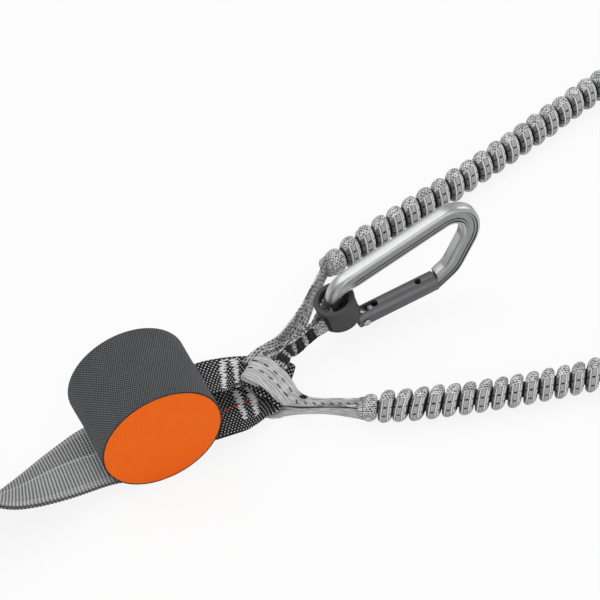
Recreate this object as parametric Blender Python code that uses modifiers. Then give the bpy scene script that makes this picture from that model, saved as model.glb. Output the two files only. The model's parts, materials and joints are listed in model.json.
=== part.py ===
"""Via ferrata lanyard: tear-webbing absorber in its pouch, harness loop, load strap,
sewn yoke, two gathered elastic arms with connectors, and a rest carabiner.

Run with blender --background --python part.py, or from Blender's text editor.
Metres, +Z up. The origin is the middle of the flat under the absorber pouch. +X runs
from the harness loop towards the arms, and the pouch's coloured end faces -Y.
"""
import math

import bmesh
import bpy
import numpy as np
from mathutils import Matrix, Vector

# General sizes
seat_gap = 0.0003
overrun = 0.002
merge_distance = 0.00002
lay_length = 0.1

# Absorber pouch
pouch_radius = 0.031
pouch_width = 0.045
pouch_wall = 0.0015
pouch_flat_depth = 0.0005
pouch_rim_round = 0.002
pouch_sides = 40
tape_mouth_shares = (-0.70, -0.25)
upper_mouth_share = 0.70
lower_mouth_share = 0.30
panel_thickness = 0.0018
panel_dome = 0.0010
panel_ring_shares = (0.55, 0.86)
piping_radius = 0.0009
piping_inset = 0.0018

# Harness loop: wide tape, two plies sewn together, open eye at its far end
tape_width = 0.040
tape_thickness = 0.0015
tape_ply_offset = 0.0012
tape_mouth_gap = 0.0012
eye_half_gap = 0.0155
eye_length = 0.047
eye_place_shares = (0.16, 0.40, 0.66, 0.86, 0.97)
eye_open_shares = (0.24, 0.72, 1.00, 0.76, 0.36)

# Tear webbing, folded in the pouch
fold_thickness = 0.0022
fold_pitch = 0.0036
fold_half_length = 0.0155
fold_width = 0.038
fold_layers = 10

# Load strap, yoke and sling
strap_thickness = 0.0020
strap_mouth_gap = 0.0008
webbing_thickness = 0.0015
sling_ply_gap = 0.0004
sling_half_width = 0.0052
wrap_clearance = 0.0006

# Keeper on the rest carabiner's basket
keeper_inner_radius = 0.0081
keeper_wall = 0.0028
keeper_height = 0.0155
keeper_tilt = math.radians(16)
keeper_rim_round = 0.0010
window_clearance = 0.0007
window_width = 0.0140

# Gathered arms: tubular webbing in pleats over an elastic core
pleat_pitch = 0.0092
crest_radius = 0.0083
valley_radius = 0.0056
sleeve_bore_radius = 0.0040
pleat_tilt = math.radians(24)
end_tilt_shares = (0.0, 0.30, 0.65)
sleeve_sides = 8
neck_length = 0.0015
bore_step = 4
core_radius = 0.0029
core_inset = 0.0020
eye_half_width = 0.0055
eye_root_share = 0.35
eye_fan_shares = ((0.33, 0.20), (0.67, 0.58))
eye_wrap_degrees = 115
end_bar_share = 0.36
end_ring_margin = 0.0040
end_ring_wall = 0.0016

# Rest carabiner
rest_length = 0.092
rest_width = 0.054
rest_rise = math.radians(22)
rest_hinge_shares = (1.320, 0.250, 0.079)

# End connectors
end_length = 0.112
end_width = 0.066
end_rod_height = 0.0101

# Forged bars, as shares of a connector's width
bar_half_width_share = 0.0975
bar_half_thick_share = 0.0700
bar_round_share = 0.0850
bar_groove_share = 0.0150
tang_half_width_share = 0.0650
tang_half_thick_share = 0.0410
tang_room_share = 0.0120
tang_end_share = 1.60
basket_end_share = 0.62
groove_fade_share = 0.22
bar_step = math.radians(16)

# Gate tube, rivet and return spring, as shares of a connector's width
gate_radius_share = 0.1000
gate_bore_share = 0.0690
gate_slot_share = 0.0905
gate_back_share = 0.0650
gate_reach_share = 0.4670
gate_lean = math.radians(11.9)
gate_seat_share = 0.56
gate_neck_share = 0.55
gate_tip_bore_share = 0.72
fork_slot_share = 0.165
drain_place_share = 0.78
rivet_radius_share = 0.0260
rivet_head_share = 0.0370
rivet_head_thick_share = 0.0100
rivet_crown_share = 0.70
rivet_clearance = 0.0003
nose_gap = 0.0006
key_depth_share = 0.0800
key_half_width_share = 0.0310
key_top_share = 0.16
nose_clear_share = 0.30
nose_top_share = 0.22
drain_radius_share = 0.0340
spring_coil_share = 0.0490
spring_wire_share = 0.0075
plunger_head_share = 0.045
plunger_stem_share = 0.120
plunger_crown_share = 0.80
spring_turns = 5
spring_points_per_turn = 8

# Palm lever of the end connectors, as shares of a connector's length or width
lever_start_share = 0.20
lever_end_share = 0.78
lever_gap_share = 0.085
lever_thick_share = 0.080
lever_depth_share = 0.130
lever_lug_share = 0.055
lever_pin_share = 0.022
lug_foot_share = 0.94
lug_half_share = 0.62
lug_height_share = 1.15
lever_boss_share = 1.05
lever_under_share = 0.62
lever_over_share = 0.80
lever_belly_share = 1.25

# Bar centreline: corners as (share of length, share of width, corner radius as share of
# width), from the gate's hinge round the basket, spine and top to the nose
bar_corner_shares = [
    (0.000, 0.000, 0.00),
    (-0.097, 0.204, 0.18),
    (-0.097, 0.593, 0.19),
    (0.793, 0.593, 0.25),
    (0.781, 0.232, 0.33),
    (0.582, -0.096, 0.28),
    (0.410, -0.176, 0.00),
]

# Middle of the basket's straight run, as a share of a connector's width
basket_middle_share = 0.335

# Section of the grooved bar: (share of half width, share of half thickness, in the groove)
grooved_section_shares = [
    (1.00, 0.50, 0), (0.78, 1.00, 0), (0.54, 1.00, 0), (0.34, 1.00, 1),
    (-0.34, 1.00, 1), (-0.54, 1.00, 0), (-0.78, 1.00, 0), (-1.00, 0.50, 0),
]
round_section_angles = [math.radians(a) for a in (14, 36, 58, 79, 101, 122, 144, 166)]

# Harness tape, single end: middle of the tape and its front and back halves, in shares of
# the lay length. The tape turns up on edge on its way to the eye.
tape_middle_shares = [
    (0.050, 0.000, 0.058), (-0.080, 0.000, 0.050), (-0.140, 0.000, 0.048), (-0.270, 0.006, 0.068),
    (-0.470, -0.020, 0.108), (-0.700, -0.080, 0.145), (-0.930, -0.115, 0.188), (-1.090, -0.125, 0.212),
]
tape_front_shares = [
    (0.0, -1.0, 0.0), (0.0, -1.0, 0.0), (0.0, -1.0, -0.02), (-0.02, -1.0, 0.02),
    (-0.08, -0.99, 0.06), (-0.27, -0.86, 0.44), (-0.16, -0.42, 0.90), (0.0, -0.02, 1.0),
]
tape_back_shares = [
    (0.0, 1.0, 0.0), (0.0, 1.0, 0.0), (0.0, 1.0, -0.02), (0.05, 0.99, -0.10),
    (0.08, 0.90, -0.43), (0.15, 0.76, -0.63), (0.12, 0.48, -0.87), (0.0, 0.02, -1.0),
]

# Load strap: (middle, half width) of both plies and the bight, in shares of the lay length
strap_upper_shares = [
    ((0.205, 0.085, 0.245), (0.000, 0.113, 0.000)),
    ((0.300, 0.088, 0.240), (0.000, 0.112, -0.004)),
    ((0.400, 0.096, 0.222), (0.010, 0.110, -0.002)),
    ((0.500, 0.098, 0.196), (0.042, 0.094, 0.002)),
    ((0.595, 0.092, 0.170), (0.068, 0.070, 0.004)),
    ((0.665, 0.052, 0.140), (0.082, 0.084, 0.006)),
    ((0.715, 0.008, 0.118), (0.088, 0.096, 0.010)),
]
strap_bight_shares = [
    ((0.742, -0.014, 0.104), (0.090, 0.098, 0.011)),
    ((0.752, -0.022, 0.086), (0.090, 0.098, 0.011)),
    ((0.738, -0.022, 0.068), (0.090, 0.098, 0.011)),
]
strap_lower_shares = [
    ((0.690, -0.020, 0.060), (0.088, 0.100, 0.014)),
    ((0.600, -0.033, 0.060), (0.066, 0.115, 0.006)),
    ((0.500, -0.036, 0.068), (0.034, 0.134, 0.002)),
    ((0.400, -0.034, 0.078), (0.010, 0.142, 0.000)),
    ((0.300, -0.034, 0.088), (0.000, 0.144, 0.000)),
    ((0.205, -0.034, 0.096), (0.000, 0.144, 0.000)),
]

# Yoke band: hem on the strap, band over it, then on edge to the right arm
band_shares = [
    ((0.652, 0.010, 0.192), (0.065, 0.048, 0.002)),
    ((0.622, 0.032, 0.204), (0.065, 0.047, 0.002)),
    ((0.594, 0.054, 0.220), (0.065, 0.045, 0.002)),
    ((0.584, 0.062, 0.230), (0.065, 0.045, 0.002)),
    ((0.590, 0.059, 0.241), (0.065, 0.045, 0.002)),
    ((0.622, 0.035, 0.234), (0.070, 0.050, 0.004)),
    ((0.655, -0.011, 0.216), (0.066, 0.037, 0.010)),
    ((0.682, -0.057, 0.195), (0.063, 0.026, 0.017)),
    ((0.700, -0.102, 0.168), (0.057, 0.017, 0.022)),
    ((0.725, -0.141, 0.140), (0.044, 0.007, 0.022)),
    ((0.776, -0.176, 0.127), (0.027, 0.002, 0.021)),
    ((0.844, -0.210, 0.124), (0.010, 0.000, 0.021)),
    ((0.932, -0.254, 0.127), (0.001, 0.000, 0.022)),
    ((1.0193, -0.3031, 0.132), (0.000, 0.000, 0.024)),
]
lower_leg_shares = [
    ((0.612, -0.052, 0.024), (0.036, 0.042, 0.000)),
    ((0.664, -0.104, 0.026), (0.028, 0.030, 0.006)),
    ((0.716, -0.146, 0.050), (0.008, 0.006, 0.022)),
    ((0.763, -0.181, 0.068), (0.002, 0.001, 0.024)),
    ((0.838, -0.221, 0.074), (0.001, 0.001, 0.024)),
    ((0.919, -0.261, 0.068), (0.001, 0.002, 0.030)),
    ((1.0144, -0.3166, 0.060), (0.000, 0.000, 0.044)),
]
upper_strand_shares = [
    ((0.772, 0.228, 0.140), (-0.028, 0.038, 0.078)),
    ((0.832, 0.269, 0.120), (-0.014, 0.019, 0.090)),
    ((0.930, 0.345, 0.106), (-0.006, 0.008, 0.090)),
    ((1.040, 0.430, 0.098), (-0.004, 0.006, 0.086)),
    ((1.150, 0.520, 0.092), (-0.002, 0.004, 0.082)),
    ((1.301, 0.6325, 0.090), (0.000, 0.000, 0.076)),
]
strand_root_shares = [
    ((0.604, 0.102, 0.194), (-0.044, 0.062, 0.022)),
    ((0.655, 0.142, 0.193), (-0.042, 0.058, 0.022)),
    ((0.705, 0.182, 0.194), (-0.036, 0.046, 0.018)),
]

# Sling to the rest carabiner's keeper, first ply
sling_shares = [
    ((0.750, 0.060, 0.161), (-0.022, 0.030, 0.006)),
    ((0.780, 0.088, 0.160), (-0.022, 0.030, 0.008)),
    ((0.824, 0.128, 0.156), (-0.016, 0.022, 0.020)),
    ((0.880, 0.158, 0.132), (-0.006, 0.008, 0.050)),
    ((0.960, 0.186, 0.140), (-0.014, 0.002, 0.050)),
    ((1.035, 0.200, 0.165), (-0.019, 0.000, 0.048)),
]

# Routes of the two arms on the ground, hand-chosen points in metres
upper_arm_route = [
    (0.1305, 0.0634, 0.0090), (0.1550, 0.0707, 0.0090), (0.1800, 0.0776, 0.0090),
    (0.2040, 0.0841, 0.0090), (0.2269, 0.0905, 0.0090), (0.2620, 0.1010, 0.0090),
    (0.3000, 0.1132, 0.0090), (0.3300, 0.1230, 0.0090), (0.3500, 0.1290, 0.0090),
    (0.3680, 0.1330, 0.0090), (0.3870, 0.1340, 0.0090), (0.4060, 0.1320, 0.0090),
    (0.4250, 0.1262, 0.0090), (0.4440, 0.1176, 0.0090), (0.4630, 0.1082, 0.0090),
    (0.4820, 0.0996, 0.0090), (0.5000, 0.0938, 0.0090), (0.5180, 0.0914, 0.0090),
    (0.5280, 0.0912, 0.0090),
]
right_arm_route = [
    (0.1021, -0.0313, 0.0090), (0.1300, -0.0414, 0.0090), (0.1593, -0.0505, 0.0090),
    (0.1900, -0.0580, 0.0090), (0.2214, -0.0639, 0.0090), (0.2500, -0.0684, 0.0090),
    (0.2800, -0.0720, 0.0090), (0.3200, -0.0748, 0.0090), (0.3600, -0.0762, 0.0090),
    (0.4000, -0.0768, 0.0090), (0.4400, -0.0770, 0.0090), (0.4800, -0.0770, 0.0090),
    (0.5100, -0.0770, 0.0090),
]

for old in list(bpy.data.objects):
    bpy.data.objects.remove(old, do_unlink=True)


def collection(name):
    made = bpy.data.collections.new(name)
    bpy.context.scene.collection.children.link(made)
    return made


parts = collection("via_ferrata_lanyard")
cutters = collection("cutters")


def material(name, colour, roughness, metallic=0.0):
    """A Principled material in one plain colour."""
    made = bpy.data.materials.new(name)
    made.use_nodes = True
    shader = made.node_tree.nodes["Principled BSDF"]
    shader.inputs["Base Color"].default_value = (*colour, 1.0)
    shader.inputs["Roughness"].default_value = roughness
    shader.inputs["Metallic"].default_value = metallic
    return made


def paint(part, colour, roughness, metallic=0.0):
    """Gives a part its own material and files it with the parts."""
    part.data.materials.append(material(part.name + "_finish", colour, roughness, metallic))
    return part


def file_under(thing, group):
    for home in list(thing.users_collection):
        home.objects.unlink(thing)
    group.objects.link(thing)
    return thing


def mesh_part(name, points, faces, group=None):
    mesh = bpy.data.meshes.new(name)
    mesh.from_pydata([tuple(map(float, p)) for p in points], [], faces)
    mesh.update()
    made = bpy.data.objects.new(name, mesh)
    (group or parts).objects.link(made)
    return made


def use_mesh_of(made, name, matrix):
    """Swaps an object that has modifiers or curves for a plain welded mesh."""
    bpy.context.view_layer.update()
    seen = made.evaluated_get(bpy.context.evaluated_depsgraph_get())
    mesh = bpy.data.meshes.new_from_object(seen)
    bm = bmesh.new()
    bm.from_mesh(mesh)
    bmesh.ops.remove_doubles(bm, verts=bm.verts, dist=merge_distance)
    bmesh.ops.recalc_face_normals(bm, faces=bm.faces)
    bm.to_mesh(mesh)
    bm.free()
    bpy.data.objects.remove(made, do_unlink=True)
    mesh.name = name
    plain = bpy.data.objects.new(name, mesh)
    plain.matrix_world = matrix
    parts.objects.link(plain)
    return plain


def shade(part, angle=math.radians(35)):
    part.data.shade_smooth()
    part.data.set_sharp_from_angle(angle=angle)
    return part


def boolean(target, tool, operation):
    """Cuts target by tool, or joins tool to it, and applies the result."""
    file_under(tool, cutters)
    step = target.modifiers.new(operation.lower(), "BOOLEAN")
    step.operation = operation
    step.object = tool
    step.solver = "EXACT"
    bpy.context.view_layer.update()
    seen = target.evaluated_get(bpy.context.evaluated_depsgraph_get())
    mesh = bpy.data.meshes.new_from_object(seen)
    target.modifiers.remove(step)
    old = target.data
    target.data = mesh
    mesh.name = target.name
    bpy.data.meshes.remove(old)
    bpy.data.objects.remove(tool, do_unlink=True)
    return target


def cylinder(name, radius, start, end, sides=24, group=None):
    """A closed cylinder from start to end."""
    start, end = Vector(start), Vector(end)
    along = end - start
    bm = bmesh.new()
    turn = along.to_track_quat("Z", "Y").to_matrix().to_4x4()
    place = Matrix.Translation((start + end) / 2) @ turn
    bmesh.ops.create_cone(bm, cap_ends=True, segments=sides, radius1=radius, radius2=radius,
                          depth=along.length, matrix=place)
    mesh = bpy.data.meshes.new(name)
    bm.to_mesh(mesh)
    bm.free()
    made = bpy.data.objects.new(name, mesh)
    (group or parts).objects.link(made)
    return made


def block(name, low, high, turn=None, group=None):
    """A box between two corners, turned about the origin if asked."""
    low, high = Vector(low), Vector(high)
    bm = bmesh.new()
    bmesh.ops.create_cube(bm, size=1.0)
    bmesh.ops.scale(bm, vec=high - low, verts=bm.verts)
    bmesh.ops.translate(bm, vec=(low + high) / 2, verts=bm.verts)
    if turn is not None:
        bmesh.ops.transform(bm, matrix=turn, verts=bm.verts)
    mesh = bpy.data.meshes.new(name)
    bm.to_mesh(mesh)
    bm.free()
    made = bpy.data.objects.new(name, mesh)
    (group or cutters).objects.link(made)
    return made


def turned(name, profile, sides, matrix, closed=True):
    """Spins a profile of (radius, height) points round Z with a Screw modifier."""
    count = len(profile)
    edges = [(i, i + 1) for i in range(count - 1)]
    if closed:
        edges.append((count - 1, 0))
    mesh = bpy.data.meshes.new(name)
    mesh.from_pydata([(r, 0.0, z) for r, z in profile], edges, [])
    made = bpy.data.objects.new(name, mesh)
    parts.objects.link(made)
    spin = made.modifiers.new("spin", "SCREW")
    spin.axis = "Z"
    spin.steps = sides
    spin.render_steps = sides
    spin.use_merge_vertices = True
    spin.merge_threshold = merge_distance
    spin.use_smooth_shade = False
    return use_mesh_of(made, name, matrix)


def arc(centre, radius, start, end, steps):
    """Points of an arc in a plane, angles in degrees."""
    turn = np.radians(np.linspace(start, end, steps + 1))
    return [(centre[0] + radius * math.cos(a), centre[1] + radius * math.sin(a)) for a in turn]


def smooth_line(points, count):
    """Catmull-Rom curve through the points, sampled at even steps of its length."""
    p = np.array(points, float)
    p = np.vstack([2 * p[0] - p[1], p, 2 * p[-1] - p[-2]])
    t = np.linspace(0, 1, 24, endpoint=False)[:, None]
    runs = []
    for a, b, c, d in zip(p[:-3], p[1:-2], p[2:-1], p[3:]):
        runs.append(0.5 * (2 * b + (c - a) * t + (2 * a - 5 * b + 4 * c - d) * t ** 2
                           + (3 * b - a - 3 * c + d) * t ** 3))
    fine = np.vstack(runs + [p[-2:-1]])
    along = np.concatenate([[0], np.cumsum(np.linalg.norm(np.diff(fine[:, :3], axis=0), axis=1))])
    want = np.linspace(0, along[-1], count)
    return np.stack([np.interp(want, along, fine[:, k]) for k in range(p.shape[1])], 1)


def sheet(name, rows, thickness):
    """A strip of cloth: rows of points across it, given its thickness by Solidify."""
    rows = np.array(rows, float)
    count, across = rows.shape[:2]
    faces = [(i * across + j, (i + 1) * across + j, (i + 1) * across + j + 1, i * across + j + 1)
             for i in range(count - 1) for j in range(across - 1)]
    made = mesh_part(name, rows.reshape(-1, 3), faces)
    wall = made.modifiers.new("thickness", "SOLIDIFY")
    wall.thickness = thickness
    wall.offset = 0.0
    wall.use_even_offset = True
    return use_mesh_of(made, name, Matrix.Identity(4))


def strip_rows(stations, count, across=3):
    """Rows of a strip from (middle, half width) stations in metres."""
    joined = np.array([list(m) + list(h) for m, h in stations], float)
    fine = smooth_line(joined, count)
    side = np.linspace(-1, 1, across)[:, None]
    return [row[:3] + side * row[3:] for row in fine]


def laid(stations):
    """Stations in shares of the lay length, as metres."""
    return [(np.array(m) * lay_length, np.array(h) * lay_length) for m, h in stations]


def frames(points):
    """Tangent, level side and upright of a path that lies near the ground."""
    tangent = np.gradient(points, axis=0)
    tangent /= np.linalg.norm(tangent, axis=1)[:, None]
    side = np.cross((0.0, 0.0, 1.0), tangent)
    side /= np.linalg.norm(side, axis=1)[:, None]
    return tangent, side, np.cross(tangent, side)


def tube(name, points, radius, resolution=2):
    """A round bar along a path of even points."""
    curve = bpy.data.curves.new(name, "CURVE")
    curve.dimensions = "3D"
    curve.bevel_depth = radius
    curve.bevel_resolution = resolution
    curve.use_fill_caps = True
    spline = curve.splines.new("POLY")
    spline.points.add(len(points) - 1)
    for knot, place in zip(spline.points, points):
        knot.co = (*map(float, place), 1.0)
    made = bpy.data.objects.new(name, curve)
    parts.objects.link(made)
    return made


cloth_grey = (0.42, 0.43, 0.44)
cloth_black = (0.025, 0.025, 0.027)
alloy = (0.70, 0.71, 0.72)
anodised = (0.14, 0.14, 0.145)
rubber_black = (0.055, 0.055, 0.058)

# Absorber pouch: a sewn fabric drum that lies on a narrow flat
pouch_centre_height = pouch_radius - pouch_flat_depth
pouch_half = pouch_width / 2
pouch_frame = Matrix.Translation((0, 0, pouch_centre_height)) @ Matrix.Rotation(math.pi / 2, 4, "X")
inner_radius = pouch_radius - pouch_wall


def pouch_sleeve():
    """The fabric drum: a wall with rounded rims, windows for tape and strap, a flat below."""
    inside_round = pouch_rim_round - pouch_wall
    rim = pouch_radius - pouch_rim_round
    top = pouch_half - pouch_rim_round
    outer_top = arc((rim, top), pouch_rim_round, 90, 0, 3)
    outer_bottom = arc((rim, -top), pouch_rim_round, 0, -90, 3)
    inner_bottom = arc((rim, -top), inside_round, -90, 0, 2)
    inner_top = arc((rim, top), inside_round, 0, 90, 2)
    profile = outer_top + outer_bottom + inner_bottom + inner_top
    drum = turned("pouch_sleeve", profile, pouch_sides, pouch_frame)
    below = -pouch_radius
    flat = block("flat_cutter", (below, -pouch_width, below), (pouch_radius, pouch_width, 0.0))
    boolean(drum, flat, "DIFFERENCE")
    half_tape = tape_width / 2 + tape_mouth_gap
    tape_low = tape_middle_shares[1][2] * lay_length - tape_ply_offset - tape_thickness
    tape_mouth = block("tape_mouth_cutter",
                       (pouch_radius * tape_mouth_shares[0], -half_tape, tape_low - overrun),
                       (pouch_radius * tape_mouth_shares[1], half_tape,
                        tape_middle_shares[3][2] * lay_length + tape_ply_offset + tape_thickness))
    boolean(drum, tape_mouth, "DIFFERENCE")
    upper, lower = laid(strap_upper_shares)[1], laid(strap_lower_shares)[-2]
    lift = strap_thickness / 2 + strap_mouth_gap
    tall = strap_thickness * 3 / 4 + strap_mouth_gap * 3 / 2
    upper_mouth = block("upper_mouth_cutter",
                        (pouch_radius * upper_mouth_share, upper[0][1] - upper[1][1] - strap_mouth_gap,
                         upper[0][2] - tall),
                        (pouch_radius + overrun, upper[0][1] + upper[1][1] + strap_mouth_gap,
                         upper[0][2] + tall))
    boolean(drum, upper_mouth, "DIFFERENCE")
    lower_mouth = block("lower_mouth_cutter",
                        (pouch_radius * lower_mouth_share, lower[0][1] - lower[1][1] - strap_mouth_gap,
                         lower[0][2] - lift),
                        (pouch_radius + overrun, lower[0][1] + lower[1][1] + strap_mouth_gap,
                         lower[0][2] + tall))
    boolean(drum, lower_mouth, "DIFFERENCE")
    return paint(shade(drum), (0.075, 0.077, 0.081), 0.85)


def pouch_panel(name, colour, side):
    """A padded round end panel, domed outwards, set inside the drum's rim."""
    radius = pouch_radius - pouch_rim_round - piping_radius - piping_inset
    base = pouch_half - panel_thickness
    edge = base + panel_thickness - panel_dome
    profile = [(0.0, edge + panel_dome)]
    for share in panel_ring_shares:
        profile.append((radius * share, edge + panel_dome * (1 - share ** 4)))
    profile += [(radius, edge), (radius, base), (0.0, base)]
    turn = Matrix.Rotation(0 if side < 0 else math.pi, 4, "X")
    panel = turned(name, profile, pouch_sides, pouch_frame @ turn, closed=False)
    return paint(shade(panel), colour, 0.8)


def piping(name, side):
    """The corded seam round an end of the drum."""
    ring_radius = pouch_radius - pouch_rim_round - piping_inset / 2 - seat_gap
    height = pouch_half - piping_radius
    profile = arc((ring_radius, height), piping_radius, 0, -288, 4)
    turn = Matrix.Rotation(0 if side < 0 else math.pi, 4, "X")
    ring = turned(name, profile, pouch_sides // 2, pouch_frame @ turn)
    return paint(shade(ring), cloth_black, 0.8)


def tear_webbing():
    """The shock-absorbing webbing, folded to and fro in the drum."""
    tape_top = tape_middle_shares[0][2] * lay_length + tape_ply_offset + tape_thickness / 2
    lowest = tape_top + seat_gap + fold_thickness / 2
    line = []
    for layer in range(fold_layers):
        level = lowest + layer * fold_pitch
        way = 1 if layer % 2 == 0 else -1
        line += [(0.0, level)] if layer else [(-fold_half_length, level), (0.0, level)]
        if layer < fold_layers - 1:
            bend = arc((way * fold_half_length, level + fold_pitch / 2), fold_pitch / 2,
                       -90 if way > 0 else 270, 90, 3)
            line += bend
        else:
            line.append((way * fold_half_length, level))
    half = fold_width / 2
    rows = [[(x, -half, z), (x, half, z)] for x, z in line]
    return paint(sheet("tear_webbing", rows, fold_thickness), (0.35, 0.35, 0.36), 0.9)


def harness_loop():
    """Wide tape out of the pouch, turned on edge, round an open eye and back."""
    half = tape_width / 2
    middle = np.array(tape_middle_shares) * lay_length
    joined = np.hstack([middle, tape_front_shares, tape_back_shares])
    fine = smooth_line(joined, 16)
    centre, front, back = fine[:, :3], fine[:, 3:6], fine[:, 6:]
    front = front / np.linalg.norm(front, axis=1)[:, None] * half
    back = back / np.linalg.norm(back, axis=1)[:, None] * half
    tangent = np.gradient(centre, axis=0)
    normal = np.cross(tangent, back - front)
    normal /= np.linalg.norm(normal, axis=1)[:, None]

    def ply(side):
        shift = normal * side * tape_ply_offset
        return [[c + s + f, c + s + f / 2, c + s, c + s + b / 2, c + s + b]
                for c, s, f, b in zip(centre, shift, front, back)]

    end = centre[-1]
    width = front[-1]
    out_side = normal[-1]
    going = [end - np.array([s * eye_length, 0, 0]) + out_side * o * eye_half_gap
             for s, o in zip(eye_place_shares, eye_open_shares)]
    tip = [end - np.array([eye_length, 0, 0])]
    coming = [end - np.array([s * eye_length, 0, 0]) - out_side * o * eye_half_gap
              for s, o in zip(eye_place_shares[::-1], eye_open_shares[::-1])]
    start = end + out_side * tape_ply_offset
    stop = end - out_side * tape_ply_offset
    ring = smooth_line(np.array([start] + going + tip + coming + [stop]), 20)[1:-1]
    eye = [[p + width, p + width / 2, p, p - width / 2, p - width] for p in ring]
    rows = ply(1) + eye + ply(-1)[::-1]
    return paint(sheet("harness_loop", rows, tape_thickness), cloth_grey, 0.9)


def load_strap():
    """Two fanned plies out of the pouch that meet in a bight under the yoke."""
    stations = laid(strap_upper_shares + strap_bight_shares + strap_lower_shares)
    rows = strip_rows(stations, 30)
    return paint(sheet("load_strap", rows, strap_thickness), cloth_black, 0.9)


def yoke():
    """The band over the strap with its edge-on leg, the leg below and the upper strand."""
    band = sheet("yoke_band", strip_rows(laid(band_shares), 34), webbing_thickness)
    paint(band, cloth_grey, 0.9)
    leg = sheet("yoke_lower_leg", strip_rows(laid(lower_leg_shares), 16), webbing_thickness)
    paint(leg, cloth_grey, 0.9)
    stations = laid(strand_root_shares + upper_strand_shares)
    strand = sheet("yoke_upper_strand", strip_rows(stations, 24), webbing_thickness)
    paint(strand, cloth_grey, 0.9)


def connector_frame(hinge, rise, upright):
    """Local X along the spine, Y across to it and Z through the bar's thickness."""
    if upright:
        base = Matrix(((1, 0, 0), (0, 0, -1), (0, 1, 0))).to_4x4()
    else:
        base = Matrix.Identity(4)
    return Matrix.Translation(hinge) @ Matrix.Rotation(-rise, 4, "Y") @ base


def bar_centreline(length, width):
    """The bar's middle line: straights with round corners, and how far it is from either end."""
    corners = [(u * length, w * width, r * width) for u, w, r in bar_corner_shares]
    line = [np.array(corners[0][:2])]
    for (u0, w0, _), (u1, w1, r), (u2, w2, _) in zip(corners, corners[1:], corners[2:]):
        here = np.array((u1, w1))
        before = np.array((u0, w0)) - here
        after = np.array((u2, w2)) - here
        before /= np.linalg.norm(before)
        after /= np.linalg.norm(after)
        half_angle = math.acos(np.clip(before @ after, -1, 1)) / 2
        reach = r / math.tan(half_angle)
        middle = before + after
        centre = here + middle / np.linalg.norm(middle) * r / math.sin(half_angle)
        first = here + before * reach - centre
        sweep = math.pi - 2 * half_angle
        turn = np.sign(first[0] * (-before[1]) - first[1] * (-before[0]))
        steps = max(3, round(sweep / bar_step))
        for k in range(steps + 1):
            a = turn * sweep * k / steps
            spun = (first[0] * math.cos(a) - first[1] * math.sin(a),
                    first[0] * math.sin(a) + first[1] * math.cos(a))
            line.append(centre + np.array(spun))
    line.append(np.array(corners[-1][:2]))
    return np.array(line)


def forged_bar(name, length, width):
    """Loft from the flat tang through a round basket to the grooved spine and the nose."""
    line = bar_centreline(length, width)
    tangent = np.gradient(line, axis=0)
    tangent /= np.linalg.norm(tangent, axis=1)[:, None]
    across = np.stack([tangent[:, 1], -tangent[:, 0]], 1)
    along = np.concatenate([[0], np.cumsum(np.linalg.norm(np.diff(line, axis=0), axis=1))])
    extra = [tang_length(width), tang_end_share * tang_length(width)]
    fine = np.sort(np.concatenate([along, extra]))
    line = np.stack([np.interp(fine, along, line[:, k]) for k in (0, 1)], 1)
    across = np.stack([np.interp(fine, along, across[:, k]) for k in (0, 1)], 1)
    across /= np.linalg.norm(across, axis=1)[:, None]
    groove = bar_groove_share * width
    basket_end = basket_end_share * width
    rings = []
    for s, middle, out in zip(fine, line, across):
        tang = np.interp(s, extra, (1.0, 0.0))
        grooved = np.interp(s, (basket_end, basket_end + groove_fade_share * width), (0.0, 1.0))
        half_width = width * np.interp(grooved, (0, 1), (bar_round_share, bar_half_width_share))
        half_width += tang * (tang_half_width_share - bar_round_share) * width
        half_thick = width * np.interp(grooved, (0, 1), (bar_round_share, bar_half_thick_share))
        half_thick += tang * (tang_half_thick_share - bar_round_share) * width
        section = []
        for (p, q, low), angle in zip(grooved_section_shares, round_section_angles):
            square = np.array((p * half_width, q * half_thick - low * grooved * groove))
            circle = np.array((math.cos(angle) * half_width, math.sin(angle) * half_thick))
            flatness = max(tang, grooved)
            section.append(circle + (square - circle) * flatness)
        section = np.array(section)
        mirrored = section[::-1] * (1, -1)
        ring = np.vstack([section, mirrored])
        rings.append([(middle[0] + out[0] * p, middle[1] + out[1] * p, q) for p, q in ring])
    return loft(name, rings)


def loft(name, rings):
    """A closed body through rings of equal count, with flat ends."""
    sides = len(rings[0])
    points = [p for ring in rings for p in ring]
    faces = []
    for i in range(len(rings) - 1):
        for j in range(sides):
            k = (j + 1) % sides
            faces.append((i * sides + j, i * sides + k, (i + 1) * sides + k, (i + 1) * sides + j))
    faces.append(tuple(range(sides))[::-1])
    last = (len(rings) - 1) * sides
    faces.append(tuple(range(last, last + sides)))
    made = mesh_part(name, points, faces)
    bm = bmesh.new()
    bm.from_mesh(made.data)
    bmesh.ops.recalc_face_normals(bm, faces=bm.faces)
    bm.to_mesh(made.data)
    bm.free()
    return made


def tang_length(width):
    """How far from the hinge the flat tang runs before the bar swells."""
    return (math.hypot(gate_radius_share, gate_back_share) + tang_room_share) * width


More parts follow.
